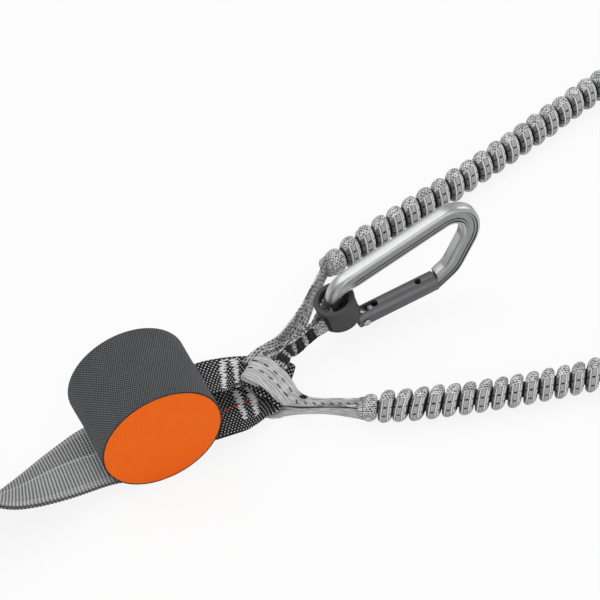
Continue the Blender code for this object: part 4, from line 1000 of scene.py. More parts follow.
def end_panel(name, node, finish, side):
    """Domed round panel: its height falls as the fourth power of the radius, and its edge is
    turned in under the piping. Its map is the plain distances across the disc."""
    base = pouch_half - panel_thickness
    profile = [(0.0, base), (panel_radius, base)]
    for share in np.linspace(1, 0, 26):
        drop = panel_dome * share ** 4 + panel_edge * max(0.0, (share - 0.965) / 0.035) ** 2
        profile.append((panel_radius * share, pouch_half + panel_lift - drop))

    def puckered(points, angle):
        share = np.hypot(points[..., 0], points[..., 1]) / panel_radius
        lift = 0.00006 * np.sin(46 * angle) * share ** 12
        return points + np.stack([0 * share, 0 * share, lift * (points[..., 2] > base)], -1)

    points, faces, _ = turned(profile, 138, False, puckered)
    flat_map = np.vstack([points[face][:, :2] for face in faces])
    panel = raw(name, [(points, faces, flat_map)], weld=True)
    present(panel, finish, "lanyard", (node,), pouch_side(side))


def piping(name, node, side):
    """Corded seam round the rim, a ring of round cord."""
    ring, level = panel_radius + piping_radius * 0.8, pouch_half - piping_radius * 0.55
    profile = [(ring + piping_radius * math.cos(a), level + piping_radius * math.sin(a))
               for a in circle(12)]
    made = raw(name, [turned(profile, 150)])
    present(made, "piping", "lanyard", (node,), pouch_side(side))


def tear_pack():
    """The absorber's webbing, folded to and fro inside the drum."""
    line = [(-fold_half_run, fold_lowest)]
    for layer in range(fold_layers):
        level, way = fold_lowest + layer * fold_pitch, 1 if layer % 2 == 0 else -1
        line.append((0.0, level))
        if layer < fold_layers - 1:
            line += arc((way * fold_half_run, level + fold_pitch / 2), fold_pitch / 2,
                        -90 if way > 0 else 270, 90, 6)
        else:
            line.append((way * fold_half_run, level))
    rows = [(x, 0.0, z, 0.0, -fold_half_width, 0.0, 0.0, fold_half_width, 0.0) for x, z in line]
    lay_webbing("tear_webbing_pack", Strip(rows), "tear", "tear_webbing", (fold_thickness, 0.0012, 24))


# %% [markdown]
# ## Harness loop
# Wide tape, two plies sewn together, that turns up on edge and opens in an eye.

# %%
tape_thickness, tape_ply_offset = 0.0011, 0.00062
eye_half_gap, eye_length = 0.0155, 0.047
eye_place_shares = (0.16, 0.40, 0.66, 0.86, 0.97)
eye_open_shares = (0.24, 0.72, 1.00, 0.76, 0.36)
tape_middle_stations = [
    (5, 0, 5.8), (-8, 0, 5), (-14, 0, 4.8), (-27, 0.6, 6.8),
    (-47, -2, 10.8), (-70, -8, 14.5), (-93, -11.5, 18.8), (-109, -12.5, 21.2),
]
tape_front_shares = [
    (0.0, -1.0, 0.0), (0.0, -1.0, 0.0), (0.0, -1.0, -0.02), (-0.02, -1.0, 0.02),
    (-0.08, -0.99, 0.06), (-0.27, -0.86, 0.44), (-0.16, -0.42, 0.90), (0.0, -0.02, 1.0),
]
tape_back_shares = [
    (0.0, 1.0, 0.0), (0.0, 1.0, 0.0), (0.0, 1.0, -0.02), (0.05, 0.99, -0.10),
    (0.08, 0.90, -0.43), (0.15, 0.76, -0.63), (0.12, 0.48, -0.87), (0.0, 0.02, -1.0),
]


def harness_loop():
    """Two plies along the stations, and between them the open ring of the eye."""
    middle = np.array(tape_middle_stations) * millimetre
    fine = smooth_line(np.hstack([middle, tape_front_shares, tape_back_shares]), 90)
    centre, front, back = fine[:, :3], unit(fine[:, 3:6]) * tape_half, unit(fine[:, 6:]) * tape_half
    normal = unit(np.cross(np.gradient(centre, axis=0), back - front))
    end, width, out = centre[-1], front[-1], normal[-1]
    going = [end - (share * eye_length, 0, 0) + out * open_share * eye_half_gap
             for share, open_share in zip(eye_place_shares, eye_open_shares)]
    coming = [end - (share * eye_length, 0, 0) - out * open_share * eye_half_gap
              for share, open_share in zip(eye_place_shares[::-1], eye_open_shares[::-1])]
    tip = [end - (eye_length, 0, 0)]
    start_point, stop_point = end + out * tape_ply_offset, end - out * tape_ply_offset
    ring = smooth_line(np.array([start_point] + going + tip + coming + [stop_point]), 90)[1:-1]
    first = np.hstack([centre + normal * tape_ply_offset, front, back])
    eye = np.hstack([ring, np.tile(width, (len(ring), 1)), np.tile(-width, (len(ring), 1))])
    second = np.hstack([centre - normal * tape_ply_offset, front, back])[::-1]
    lay_webbing("harness_tape", Strip(np.vstack([first, eye, second])), "tape", "harness_loop",
                (tape_thickness, 0.00035, 36, (tape_rib_pitch, 0.00009)))


# %% [markdown]
# ## Stations of the strap, yoke and sling
# Each station gives the middle of the webbing and its half width, in millimetres. They are
# the model's own, but for the lower leg and the upper strand, which are laid a little wider
# to match the photograph.

# %%
strap_upper_stations = [
    ((20.5, 8.5, 24.5), (0, 11.3, 0)),
    ((30, 8.8, 24), (0, 11.2, -0.4)),
    ((40, 9.6, 22.2), (1, 11, -0.2)),
    ((50, 9.8, 19.6), (4.2, 9.4, 0.2)),
    ((59.5, 9.2, 17), (6.8, 7, 0.4)),
    ((66.5, 5.2, 14), (8.2, 8.4, 0.6)),
    ((71.5, 0.8, 11.8), (8.8, 9.6, 1)),
]
strap_bight_stations = [
    ((74.2, -1.4, 10.4), (9, 9.8, 1.1)),
    ((75.2, -2.2, 8.6), (9, 9.8, 1.1)),
    ((73.8, -2.2, 6.8), (9, 9.8, 1.1)),
]
strap_lower_stations = [
    ((69, -2, 6), (8.8, 10, 1.4)),
    ((60, -3.3, 6), (6.6, 11.5, 0.6)),
    ((50, -3.6, 6.8), (3.4, 13.4, 0.2)),
    ((40, -3.4, 7.8), (1, 14.2, 0)),
    ((30, -3.4, 8.8), (0, 14.4, 0)),
    ((20.5, -3.4, 9.6), (0, 14.4, 0)),
]
band_stations = [
    ((65.2, 1, 19.2), (6.5, 4.8, 0.2)),
    ((62.2, 3.2, 20.4), (6.5, 4.7, 0.2)),
    ((59.4, 5.4, 22), (6.5, 4.5, 0.2)),
    ((58.4, 6.2, 23), (6.5, 4.5, 0.2)),
    ((59, 5.9, 24.1), (6.5, 4.5, 0.2)),
    ((62.2, 3.5, 23.4), (7, 5, 0.4)),
    ((65.5, -1.1, 21.6), (6.6, 3.7, 1)),
    ((68.2, -5.7, 19.5), (6.3, 2.6, 1.7)),
    ((70, -10.2, 16.8), (5.7, 1.7, 2.2)),
    ((72.5, -14.1, 14), (4.4, 0.7, 2.2)),
    ((77.6, -17.6, 12.7), (2.7, 0.2, 2.1)),
    ((84.4, -21, 12.4), (1, 0, 2.1)),
    ((93.2, -25.4, 12.7), (0.1, 0, 2.2)),
    ((101.93, -30.31, 13.2), (0, 0, 2.4)),
]
lower_leg_stations = [
    ((61.2, -5.2, 2.4), (3.6, 4.2, 0)),
    ((66.4, -10.4, 2.8), (2.8, 3, 0.8)),
    ((71.6, -14.6, 5.4), (0.8, 0.6, 2.6)),
    ((76.3, -18.1, 7.2), (0.2, 0.1, 2.9)),
    ((83.8, -22.1, 7.8), (0.1, 0.1, 2.9)),
    ((91.9, -26.1, 7.3), (0.1, 0.2, 3.4)),
    ((101.44, -31.66, 6.4), (0, 0, 4.6)),
]
upper_strand_stations = [
    ((60.6, 9.6, 19.4), (4.2, -5.6, -2.2), (-2.6, 3.7, 1.3)),
    ((65.8, 13.6, 19.2), (4.6, -6.2, -3), (-2.2, 3.1, 1)),
    ((71.2, 17.2, 18.2), (4.4, -5.8, -5), (-1.8, 2.5, 0.8)),
    ((78.6, 21, 13.4), (4, -5.4, -7.8), (-1.4, 1.9, 3.6)),
    ((85, 24.8, 11.2), (3.4, -4.4, -8.8), (-0.8, 1, 4.4)),
    ((95, 32.2, 9.8), (2.6, -3.4, -8.2), (-0.5, 0.7, 4.6)),
    ((105.8, 41, 9.2), (1.6, -2.2, -7.8), (-0.3, 0.4, 5)),
    ((116.2, 50.8, 9), (0.6, -1, -7.8), (-0.1, 0.2, 5.8)),
    ((130.1, 63.25, 9), (0, 0, -7.6), (0, 0, 7)),
]
sling_stations = [
    ((75, 6, 16.1), (-2.2, 3, 0.6)),
    ((78, 8.8, 16), (-2.2, 3, 0.8)),
    ((82.4, 12.8, 15.6), (-1.6, 2.2, 2)),
    ((88, 15.8, 13.2), (-0.6, 0.8, 5)),
    ((96, 18.6, 14), (-1.4, 0.2, 5)),
    ((103.5, 20, 16.5), (-1.9, 0, 4.8)),
]

# %% [markdown]
# ## Load strap, yoke and sling
# The strap comes out of the pouch, folds in a bight and goes back in. The yoke is sewn over it
# and sends a strand or leg to either arm, and the sling goes to the rest carabiner. Bartacks
# and running stitches are real threads on the cloth.

# %%
strap_tacks = [
    (1, 0.0253, 0.0018, -0.93, 0.76, 10, 0.0040), (1, 0.0326, -0.0020, -0.78, 0.78, 9, 0.0038),
    (-1, 0.0889, 0.0010, -0.60, 0.78, 10, 0.0036), (-1, 0.0816, 0.0030, -0.60, 0.90, 11, 0.0036),
]
tack_radius, strap_tack_lift = 0.000405, strap_thickness / 2 + 0.00015
stitch_radius, sling_thread_radius, eye_thread_radius = 0.00030, 0.00032, 0.00028


def load_strap():
    """The strap and its rows of white zigzag, two on either ply."""
    strap = strip_of(strap_upper_stations + strap_bight_stations + strap_lower_stations, 500)
    lay_webbing("strap_webbing", strap, "strap", "load_strap",
                (strap_thickness, 0.0006, 44, (0.0014, 0.00008)))
    lines = [strap.zigzag(*row, side * strap_tack_lift, seed, 0.5)
             for seed, (side, *row) in enumerate(strap_tacks, 1)]
    sew("strap_bartacks", lines, tack_radius, "thread_white")


def yoke():
    """The sewn band with its two rows of stitches, the lower leg and the upper strand."""
    band, leg, strand = (strip_of(shares) for shares in
                         (band_stations, lower_leg_stations, upper_strand_stations))
    lay_webbing("yoke_band_webbing", band, "yoke", "yoke_band")
    lay_webbing("yoke_leg_webbing", leg, "yoke", "yoke_lower_leg")
    lay_webbing("upper_strand_webbing", strand, "strand", "yoke_upper_strand")
    lift = webbing_thickness / 2 + stitch_radius * 0.5
    dashes = [((0.0096, 0.52), (0.0128, 0.42)), ((0.0108, -0.18), (0.0127, -0.14))]
    for s in np.arange(0.0160, 0.0335, 0.0055):
        dashes += [((s, 0.41), (s + 0.0030, 0.42)), ((s - 0.0002, -0.14), (s + 0.0032, -0.10))]
    dashes += [((s, 0.05), (s + 0.0024, -0.55)) for s in np.arange(0.0396, 0.0690, 0.0042)]
    lines = [band.dash(first, last, lift) for first, last in dashes]
    lines += [band.zigzag(0.0416, 0.0, 0.46, 0.92, 5, 0.0030, lift, seed, 0.7) for seed in (1, 2)]
    lines.append(leg.at(np.linspace(0.0120, leg.length - 0.0010, 60), 0.93, lift))
    sew("yoke_stitches", lines, stitch_radius)


def rest_sling(bar, ahead):
    """From the yoke into the keeper, round the bar in the bar's own plane, and back beside."""
    first = smooth_line(laid(sling_stations), 12)
    half = np.cross(ahead, (0.0, 1.0, 0.0)) * sling_half_width
    wrap = bar_round_share * rest_width + wrap_clearance + webbing_thickness / 2
    level = np.array((0.0, 1.0, 0.0))
    going = [bar + wrap * (ahead * math.cos(a) + level * math.sin(a))
             for a in np.radians(np.linspace(-90, 90, 13))]
    lead, halves = first[:, :3], first[:, 6:]
    step_aside = webbing_thickness + sling_ply_gap
    back = []
    for k in range(len(lead) - 1, 3, -1):
        step = lead[min(k + 1, len(lead) - 1)] - lead[k - 1]
        beside = np.array((-step[1], step[0], 0)) / math.hypot(step[0], step[1])
        back.append((lead[k] + beside * step_aside, halves[k]))
    stations = list(zip(lead, halves))[:-1]
    stations += [(going[0] - ahead * wrap / 2, half)] + [(p, half) for p in going]
    stations += [(going[-1] - ahead * wrap / 2, half)] + back
    rows = np.array([(*middle, *np.negative(h), *h) for middle, h in stations])
    strip = Strip(smooth_line(rows, 400))
    lay_webbing("sling_webbing", strip, "sling", "carabiner_sling")
    lift = webbing_thickness / 2 + sling_thread_radius * 0.4
    lines = []
    for place in (0.0050, 0.0125, 0.0205, 0.0285):
        for side in (-1, 1):
            lines += [strip.zigzag(place, 0.0, -0.84, 0.84, 13, 0.0043, side * lift, seed, 0.7)
                      for seed in (1, 2)]
    sew("sling_bartacks", lines, sling_thread_radius)


# %% [markdown]
# ## Sizes of the connectors
# Most are shares of a connector's width, or of its length, so one recipe makes the rest
# carabiner and the larger pair. Two corners of the bar are a little tighter than the model's,
# so that their arcs don't run into each other.

# %%
rest_length, rest_width = 0.092, 0.054
end_length, end_width = 0.112, 0.066
sling_half_width, wrap_clearance, seat_gap = 0.0052, 0.0006, 0.0003
rivet_clearance = 0.0003
bar_half_width_share, bar_half_thick_share = 0.0975, 0.0700
bar_round_share, bar_groove_share = 0.0850, 0.0240
tang_half_width_share, tang_half_thick_share, tang_room_share = 0.0650, 0.0410, 0.0120
tang_end_share, basket_end_share, groove_fade_share = 1.60, 0.62, 0.22
gate_radius_share, gate_bore_share, gate_slot_share = 0.1000, 0.0690, 0.0905
gate_back_share, gate_reach_share, gate_lean = 0.0650, 0.4670, math.radians(11.9)
gate_seat_share, gate_neck_share, gate_tip_bore_share = 0.56, 0.55, 0.72
fork_slot_share, drain_place_share, drain_radius_share = 0.165, 0.78, 0.0340
rivet_radius_share, rivet_head_share, rivet_head_thick_share = 0.0260, 0.0370, 0.0100
nose_gap, key_depth_share, key_half_width_share, key_top_share = 0.0006, 0.0800, 0.0310, 0.16
nose_clear_share, nose_top_share = 0.30, 0.22
spring_coil_share, spring_wire_share, spring_turns = 0.0490, 0.0075, 5
plunger_head_share, plunger_stem_share, plunger_crown_share = 0.045, 0.120, 0.8
lever_start_share, lever_end_share, lever_gap_share, lever_thick_share = 0.20, 0.78, 0.085, 0.080
lever_depth_share, lever_lug_share, lever_pin_share = 0.130, 0.055, 0.022
lug_foot_share, lug_half_share, lug_height_share, lever_boss_share = 0.94, 0.62, 1.15, 1.05
lever_under_share, lever_over_share, lever_belly_share = 0.62, 0.80, 1.25
bar_corner_shares = [
    (0.000, 0.000, 0.00), (-0.097, 0.204, 0.18), (-0.097, 0.593, 0.19), (0.793, 0.593, 0.22),
    (0.781, 0.232, 0.32), (0.582, -0.096, 0.28), (0.410, -0.176, 0.00),
]
basket_middle_share = 0.335
section_sides = 72
lengthwise = Matrix.Rotation(math.pi / 2, 4, "Y")

# %% [markdown]
# ## The forged bar
# Each connector is rebuilt in the frame of its joints: X along the spine, Z along the gate's
# hinge pin. The bar is a loft from the flat tang round the basket to the grooved spine and
# the nose. Its eye, lug and key are joined on, and its holes are cut.

# %%


def joint(name):
    """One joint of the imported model."""
    return next(one for one in frame["joints"] if one["name"] == name)


def connector_frame(suffix):
    """X along the spine and Z along the hinge pin, from the places of the two joints."""
    mount_name = "connector_swing" if suffix == "_rest" else "connector_lift"
    gate, mount = joint("gate_open" + suffix), joint(mount_name + suffix)
    hinge = Vector(gate["pos_m"])
    along = (hinge - Vector(mount["pos_m"])).normalized()
    pin = Vector((0, -1, 0)) if suffix == "_rest" else Vector(gate["axis"]).normalized()
    across = pin.cross(along).normalized()
    turn = Matrix((along, across, along.cross(across))).transposed().to_4x4()
    return Matrix.Translation(hinge) @ turn


def bar_centreline(length, width, step=math.radians(4)):
    """Straights with round corners, from the gate's hinge round the basket to the nose."""
    corners = [(u * length, w * width, r * width) for u, w, r in bar_corner_shares]
    line = [np.array(corners[0][:2])]
    for (u0, w0, _), (u1, w1, r), (u2, w2, _) in zip(corners, corners[1:], corners[2:]):
        here = np.array((u1, w1))
        before, after = unit(np.array((u0, w0)) - here), unit(np.array((u2, w2)) - here)
        half_angle = math.acos(np.clip(before @ after, -1, 1)) / 2
        centre = here + unit(before + after) * r / math.sin(half_angle)
        first = here + before * r / math.tan(half_angle) - centre
        sweep = math.pi - 2 * half_angle
        way = np.sign(first[0] * (-before[1]) - first[1] * (-before[0]))
        for a in way * np.linspace(0, sweep, max(3, round(sweep / step)) + 1):
            line.append(centre + (first[0] * math.cos(a) - first[1] * math.sin(a),
                                  first[0] * math.sin(a) + first[1] * math.cos(a)))
    line.append(np.array(corners[-1][:2]))
    return np.array(line)


def forged_bar(length, width):
    """Ring by ring, the section goes from the tang's rounded rectangle to a circle in the
    basket and to an I-beam on the spine, whose grooves step down twice on each face. Points
    lie closest together on the two faces, where the steps are."""
    line = bar_centreline(length, width)
    along = running(line)
    tangent = unit(np.gradient(line, axis=0))
    across = np.stack([tangent[:, 1], -tangent[:, 0]], 1)
    s = np.unique(np.concatenate([along, np.arange(0, along[-1], 0.0012)]))
    line = np.stack([np.interp(s, along, line[:, k]) for k in (0, 1)], 1)
    across = unit(np.stack([np.interp(s, along, across[:, k]) for k in (0, 1)], 1))
    tang_length = (math.hypot(gate_radius_share, gate_back_share) + tang_room_share) * width
    tang = np.interp(s, (tang_length, tang_end_share * tang_length), (1.0, 0.0))
    basket_end = basket_end_share * width
    grooved = np.interp(s, (basket_end, basket_end + groove_fade_share * width), (0.0, 1.0))
    wide = bar_round_share + grooved * (bar_half_width_share - bar_round_share)
    wide = (wide + tang * (tang_half_width_share - bar_round_share)) * width
    thick = bar_round_share + grooved * (bar_half_thick_share - bar_round_share)
    thick = (thick + tang * (tang_half_thick_share - bar_round_share)) * width
    even = circle(section_sides)
    turn = even + 0.40 * np.sin(2 * even)
    sharp = (1 - 0.56 * np.maximum(tang, grooved))[:, None]
    p = np.sign(np.cos(turn)) * np.abs(np.cos(turn)) ** sharp
    q = np.sign(np.sin(turn)) * np.abs(np.sin(turn)) ** sharp
    first_step = np.clip((0.62 - np.abs(p)) / 0.07, 0, 1)
    second_step = np.clip((0.34 - np.abs(p)) / 0.06, 0, 1)
    floor = 0.6 * first_step + 0.4 * second_step
    q = q * thick[:, None] - np.sign(q) * floor * grooved[:, None] * bar_groove_share * width
    flat = line[:, None] + across[:, None] * (p * wide[:, None])[..., None]
    points = np.concatenate([flat, q[..., None]], -1)
    return patch(points, grid(s / width, np.linspace(0, 1, section_sides + 1)))


def connector_body(suffix, length, width, place, palm):
    """The bar with its rivet eye, its nose cut square to the gate and the key that enters it."""
    body = raw("forged_body" + suffix, [forged_bar(length, width)])
    half_tang = tang_half_thick_share * width
    carve(body, rod(tang_half_width_share * width, (0, 0, -half_tang), (0, 0, half_tang)), "UNION")
    gate_turn = Matrix.Rotation(-gate_lean, 4, "Z")
    reach = gate_reach_share * length
    face = reach + nose_gap
    wide = nose_clear_share * width
    carve(body, block((face - wide, -wide, -wide), (face, nose_top_share * width, wide), gate_turn))
    bevelled(body, 0.00025)
    bore, key_half = gate_bore_share * width, key_half_width_share * width
    key_low = math.sqrt((bore - 1.5 * seat_gap) ** 2 - key_half ** 2)
    carve(body, block((reach - key_depth_share * width, -key_low, -key_half),
                      (face + 0.002, bore * key_top_share, key_half), gate_turn), "UNION")
    carve(body, rod(rivet_radius_share * width + rivet_clearance, (0, 0, -width), (0, 0, width)))
    if palm:
        pivot = lever_pivot(length, width)
        radius = lever_lug_share * width
        half = radius * lug_half_share
        foot, foot_half = radius * lug_foot_share, half * lug_foot_share
        carve(body, rod(radius, (*pivot, -half), (*pivot, half)), "UNION")
        carve(body, block((pivot[0] - foot, spine_height(width), -foot_half),
                          (pivot[0] + foot, pivot[1], foot_half)), "UNION")
        carve(body, rod(lever_pin_share * width + rivet_clearance, (*pivot, -width), (*pivot, width)))
    present(body, "alloy", "connector" + suffix, ("carabiner_body" + suffix,), place, 30)


def spine_height(width):
    """How far the spine's middle line lies from the hinge."""
    return bar_corner_shares[2][1] * width


def lever_pivot(length, width):
    """Where the palm lever's pin goes through the lug, in the bar's frame."""
    outside = spine_height(width) + bar_half_width_share * width
    return (lever_start_share * length, outside + lever_lug_share * width * lug_height_share)


# %% [markdown]
# ## The gate
# A tube with a fork that straddles the tang, on a rivet. A coil spring in its bore presses a
# plunger on the tang and shuts it, and its other end takes the nose's key.

# %%


def gate(suffix, length, width, place):
    """Turned tube with rounded rims and a fine ring near its tip, a fork slot with a round end
    at the hinge, a slot for the nose's key, a rivet hole and a drain hole."""
    radius, bore = gate_radius_share * width, gate_bore_share * width
    reach, back = gate_reach_share * length, gate_back_share * width
    soft = 0.0005
    ring_place, ring_depth = reach - 0.0032, 0.0002
    profile = [(0.0, -back)] + arc((radius - soft, -back + soft), soft, -90, 0, 4)
    profile += [(radius, z) for z in np.linspace(0, ring_place - 2 * ring_depth, 10)[1:]]
    profile += arc((radius - ring_depth, ring_place), ring_depth, 0, 60, 2)
    profile += arc((radius - soft, reach - soft), soft, 0, 90, 4) + [(0.0, reach)]
    tube = raw("gate_sleeve" + suffix, [turned(profile, 72, False)], weld=True)
    tube.data.transform(lengthwise)
    over, seat = 0.002, gate_seat_share * reach
    for first, last, hole in ((-back - over, seat, bore), (seat - over, reach, bore * gate_neck_share),
                              (gate_tip_bore_share * reach, reach + over, bore)):
        carve(tube, rod(hole, (first, 0, 0), (last, 0, 0)))
    slot_half, slot_end = gate_slot_share * width / 2, fork_slot_share * reach
    carve(tube, block((-back - over, -bore, -slot_half), (slot_end, radius + over, slot_half)))
    carve(tube, rod(slot_half, (slot_end, 0, 0), (slot_end, radius + over, 0)))
    key_half = key_half_width_share * width + rivet_clearance
    carve(tube, block((reach - key_depth_share * width - over, -radius - over, -key_half),
                      (reach + over, 0.0, key_half)))
    carve(tube, rod(rivet_radius_share * width + rivet_clearance, (0, 0, -2 * radius), (0, 0, 2 * radius)))
    drain = drain_place_share * reach
    carve(tube, rod(drain_radius_share * width, (drain, 0, 0), (drain, 2 * radius, 0)))
    present(tube, "anodised", "gate" + suffix, ("gate_tube" + suffix,), place, 30)


def gate_inside(suffix, length, width, place):
    """Return spring in the gate's bore and the plunger that it presses on the tang."""
    coil, wire = spring_coil_share * width, spring_wire_share * width
    head_start = tang_half_width_share * width + seat_gap
    head_end = head_start + plunger_head_share * width
    first = head_end + seat_gap + wire
    last = gate_seat_share * gate_reach_share * length - seat_gap - wire
    turns = np.linspace(0, spring_turns, 24 * spring_turns + 1)
    line = np.stack([first + (last - first) * turns / spring_turns,
                     coil * np.cos(2 * math.pi * turns), coil * np.sin(2 * math.pi * turns)], 1)
    spring = raw("return_spring" + suffix, [thread(line, wire, 8, False)])
    present(spring, "steel", "gate" + suffix, ("gate_spring" + suffix,), place, 180)
    head, stem = gate_bore_share * width - seat_gap, coil - wire - 2 * seat_gap
    stem_end = head_end + plunger_stem_share * width
    crown = head * plunger_crown_share
    profile = [(0.0, head_start), (crown, head_start), (head, head_start + 2 * seat_gap),
               (head, head_end), (stem, head_end), (stem, stem_end - seat_gap),
               (stem - seat_gap, stem_end), (0.0, stem_end)]
    plunger = raw("spring_plunger" + suffix, [turned(profile, 36, False)], weld=True)
    plunger.data.transform(lengthwise)
    present(plunger, "nylon", "gate" + suffix, ("gate_plunger" + suffix,), place)


def rivet(suffix, width, place):
    """Domed heads outside the gate's fork."""
    shank, head = rivet_radius_share * width, rivet_head_share * width
    under = gate_radius_share * width + seat_gap
    rise = rivet_head_thick_share * width
    half = [(0.0, under + rise)]
    half += [(head * math.sin(a), under + rise * math.cos(a) ** 0.7)
             for a in np.radians((20, 40, 60, 75, 85))]
    half += [(head, under), (shank, under)]
    profile = half + [(r, -h) for r, h in half[::-1]]
    made = raw("hinge_rivet" + suffix, [turned(profile, 40, False)], weld=True)
    present(made, "steel", "connector" + suffix, ("gate_rivet" + suffix,), place)


# %% [markdown]
# ## The palm lever
# Only the two large connectors have one. It lies along the spine, turns on a pin through the
# bar's lug, and the palm presses it before the gate may open.

# %%


def palm_lever(suffix, length, width, place):
    """Plate along the spine with round edges, forked over its lug, and its pin."""
    pivot = lever_pivot(length, width)
    outside = spine_height(width) + bar_half_width_share * width
    end, gap, thick = lever_end_share * length, lever_gap_share * width, lever_thick_share * width
    boss = lever_lug_share * width * lever_boss_share
    near, base = pivot[0] + boss, outside + 2 * seat_gap
    outline = arc(pivot, boss, 120, 240, 14)
    outline += [(near, base), ((near + end) / 2, outside + lever_under_share * gap)]
    outline += arc((end, outside + gap + thick / 2), thick / 2, -90, 90, 12)
    belly = lever_over_share * gap + lever_belly_share * thick
    outline += [((near + end) / 2, outside + belly), (near, pivot[1] + boss)]
    outline = np.array(outline)
    edge = unit(np.roll(outline, -1, 0) - np.roll(outline, 1, 0))
    inwards = np.stack([-edge[:, 1], edge[:, 0]], 1)
    half, soft = lever_depth_share * width / 2, 0.0006
    layers = [(soft * (1 - math.sin(a)), -half + soft * (1 - math.cos(a)))
              for a in np.radians((0, 30, 60, 90))]
    layers += [(inset, -z) for inset, z in layers[::-1]]
    points = np.array([np.column_stack([outline + inwards * inset, np.full(len(outline), z)])
                       for inset, z in layers])
    around = np.linspace(0, 2.2 * length, len(outline) + 1)
    lever = raw("lever_plate" + suffix, [patch(points, grid([z for _, z in layers], around))])
    fork_half = lever_lug_share * width * lug_half_share + seat_gap
    room = lever_lug_share * width + 2 * seat_gap
    carve(lever, block((pivot[0] - 2 * boss, outside - 0.002, -fork_half),
                       (pivot[0] + room, pivot[1] + 2 * boss, fork_half)))
    pin_radius = lever_pin_share * width
    carve(lever, rod(pin_radius + rivet_clearance, (*pivot, -width), (*pivot, width)))
    present(lever, "lever", "lever" + suffix, ("palm_lever" + suffix,), place, 30)
    top = [(0.0, half), (pin_radius * 0.8, half), (pin_radius, half - 0.0003)]
    profile = top + [(r, -z) for r, z in top[::-1]]
    pin = raw("lever_axle" + suffix, [turned(profile, 32, False)], weld=True)
    pin.data.transform(Matrix.Translation((*pivot, 0)))
    present(pin, "steel", "connector" + suffix, ("lever_pin" + suffix,), place)


def connector(suffix, length, width, palm):
    """All the pieces of one connector, in the frames of its bar and of its gate."""
    place = connector_frame(suffix)
    gate_place = place @ Matrix.Rotation(-gate_lean, 4, "Z")
    connector_body(suffix, length, width, place, palm)
    gate(suffix, length, width, gate_place)
    gate_inside(suffix, length, width, gate_place)
    rivet(suffix, width, place)
    if palm:
        palm_lever(suffix, length, width, place)
    return place


# %% [markdown]
# ## Keepers and arm eyes
# Rubber rings hold the webbing on each basket. The rest carabiner's ring has a window where
# its sling goes in, and each arm ends in a sewn eye.

# %%
keeper_inner, keeper_wall, keeper_height = 0.0081, 0.0028, 0.0155
keeper_tilt, rest_rise = math.radians(16), math.radians(22)
window_clearance, window_width = 0.0007, 0.0140
eye_half_width, eye_root_share, eye_wrap_degrees = 0.0055, 0.35, 115
eye_fan_shares = ((0.33, 0.20), (0.67, 0.58))
end_ring_margin, end_ring_wall = 0.0040, 0.0016


def keeper(suffix, inner, wall, height, place, window):
    """Ring with a bead at each rim and a shallow groove between."""
    half, outer, soft = height / 2, inner + wall, 0.0009
    profile = arc((outer - soft, half - soft), soft, 90, 0, 6)
    waist = np.linspace(half - soft, soft - half, 15)[1:-1]
    profile += [(outer - 0.00035 * (1 - (z / half) ** 4), z) for z in waist]
    profile += arc((outer - soft, soft - half), soft, 0, -90, 6)
    edge = 0.0003
    profile += [(inner + edge, -half), (inner, edge - half), (inner, half - edge), (inner + edge, half)]
    ring = raw("rubber_keeper" + suffix, [turned(profile, 84)])
    carve(ring, window)
    bevelled(ring, 0.0003)
    present(ring, "rubber", "lanyard", ("sling_keeper" + suffix,), place, 40)


def arm_eye(suffix, end, bar, wrap_radius):
    """Webbing from the end of an arm round the basket, closed by a bartack."""
    half = np.array((0, eye_half_width, 0))
    root = end[0] + seat_gap
    ply = webbing_thickness / 2 + sling_ply_gap / 2
    wrap = wrap_radius + seat_gap + webbing_thickness / 2
    turn = [(bar[0] + wrap * math.cos(a), bar[2] + wrap * math.sin(a))
            for a in np.radians(np.linspace(eye_wrap_degrees, -eye_wrap_degrees, 12))]
    near = root + eye_root_share * (turn[0][0] - root)
    top = [(root, end[2] + ply), (near, end[2] + ply)]
    bottom = [(near, end[2] - ply), (root, end[2] - ply)]
    for along, apart in eye_fan_shares:
        x = near + along * (turn[0][0] - near)
        top.append((x, end[2] + ply + apart * (turn[0][1] - end[2] - ply)))
        bottom.insert(0, (x, end[2] - ply + apart * (turn[-1][1] - end[2] + ply)))
    rows = [(x, end[1], z, *-half, *half) for x, z in top + turn + bottom]
    strip = Strip(smooth_line(rows, 240))
    lay_webbing("arm_eye_webbing" + suffix, strip, "yoke", "arm_eye" + suffix)
    inset, lift = 0.0030, webbing_thickness / 2 + eye_thread_radius * 0.4
    side = np.sign(strip.at(inset, 0.0, 1.0)[2] - strip.at(inset, 0.0, 0.0)[2])
    lines = [strip.zigzag(place, 0.0, -0.8, 0.8, 9, 0.0032, side * lift)
             for place in (inset, strip.length - inset)]
    sew("arm_eye_tack" + suffix, lines, eye_thread_radius)


# %% [markdown]
# ## Putting it together
# The soft pieces are laid first. Then each connector is placed by the joints of the packed model, its
# keeper and eye follow from the bar, and the pieces that hang on each arm are gathered in a list.

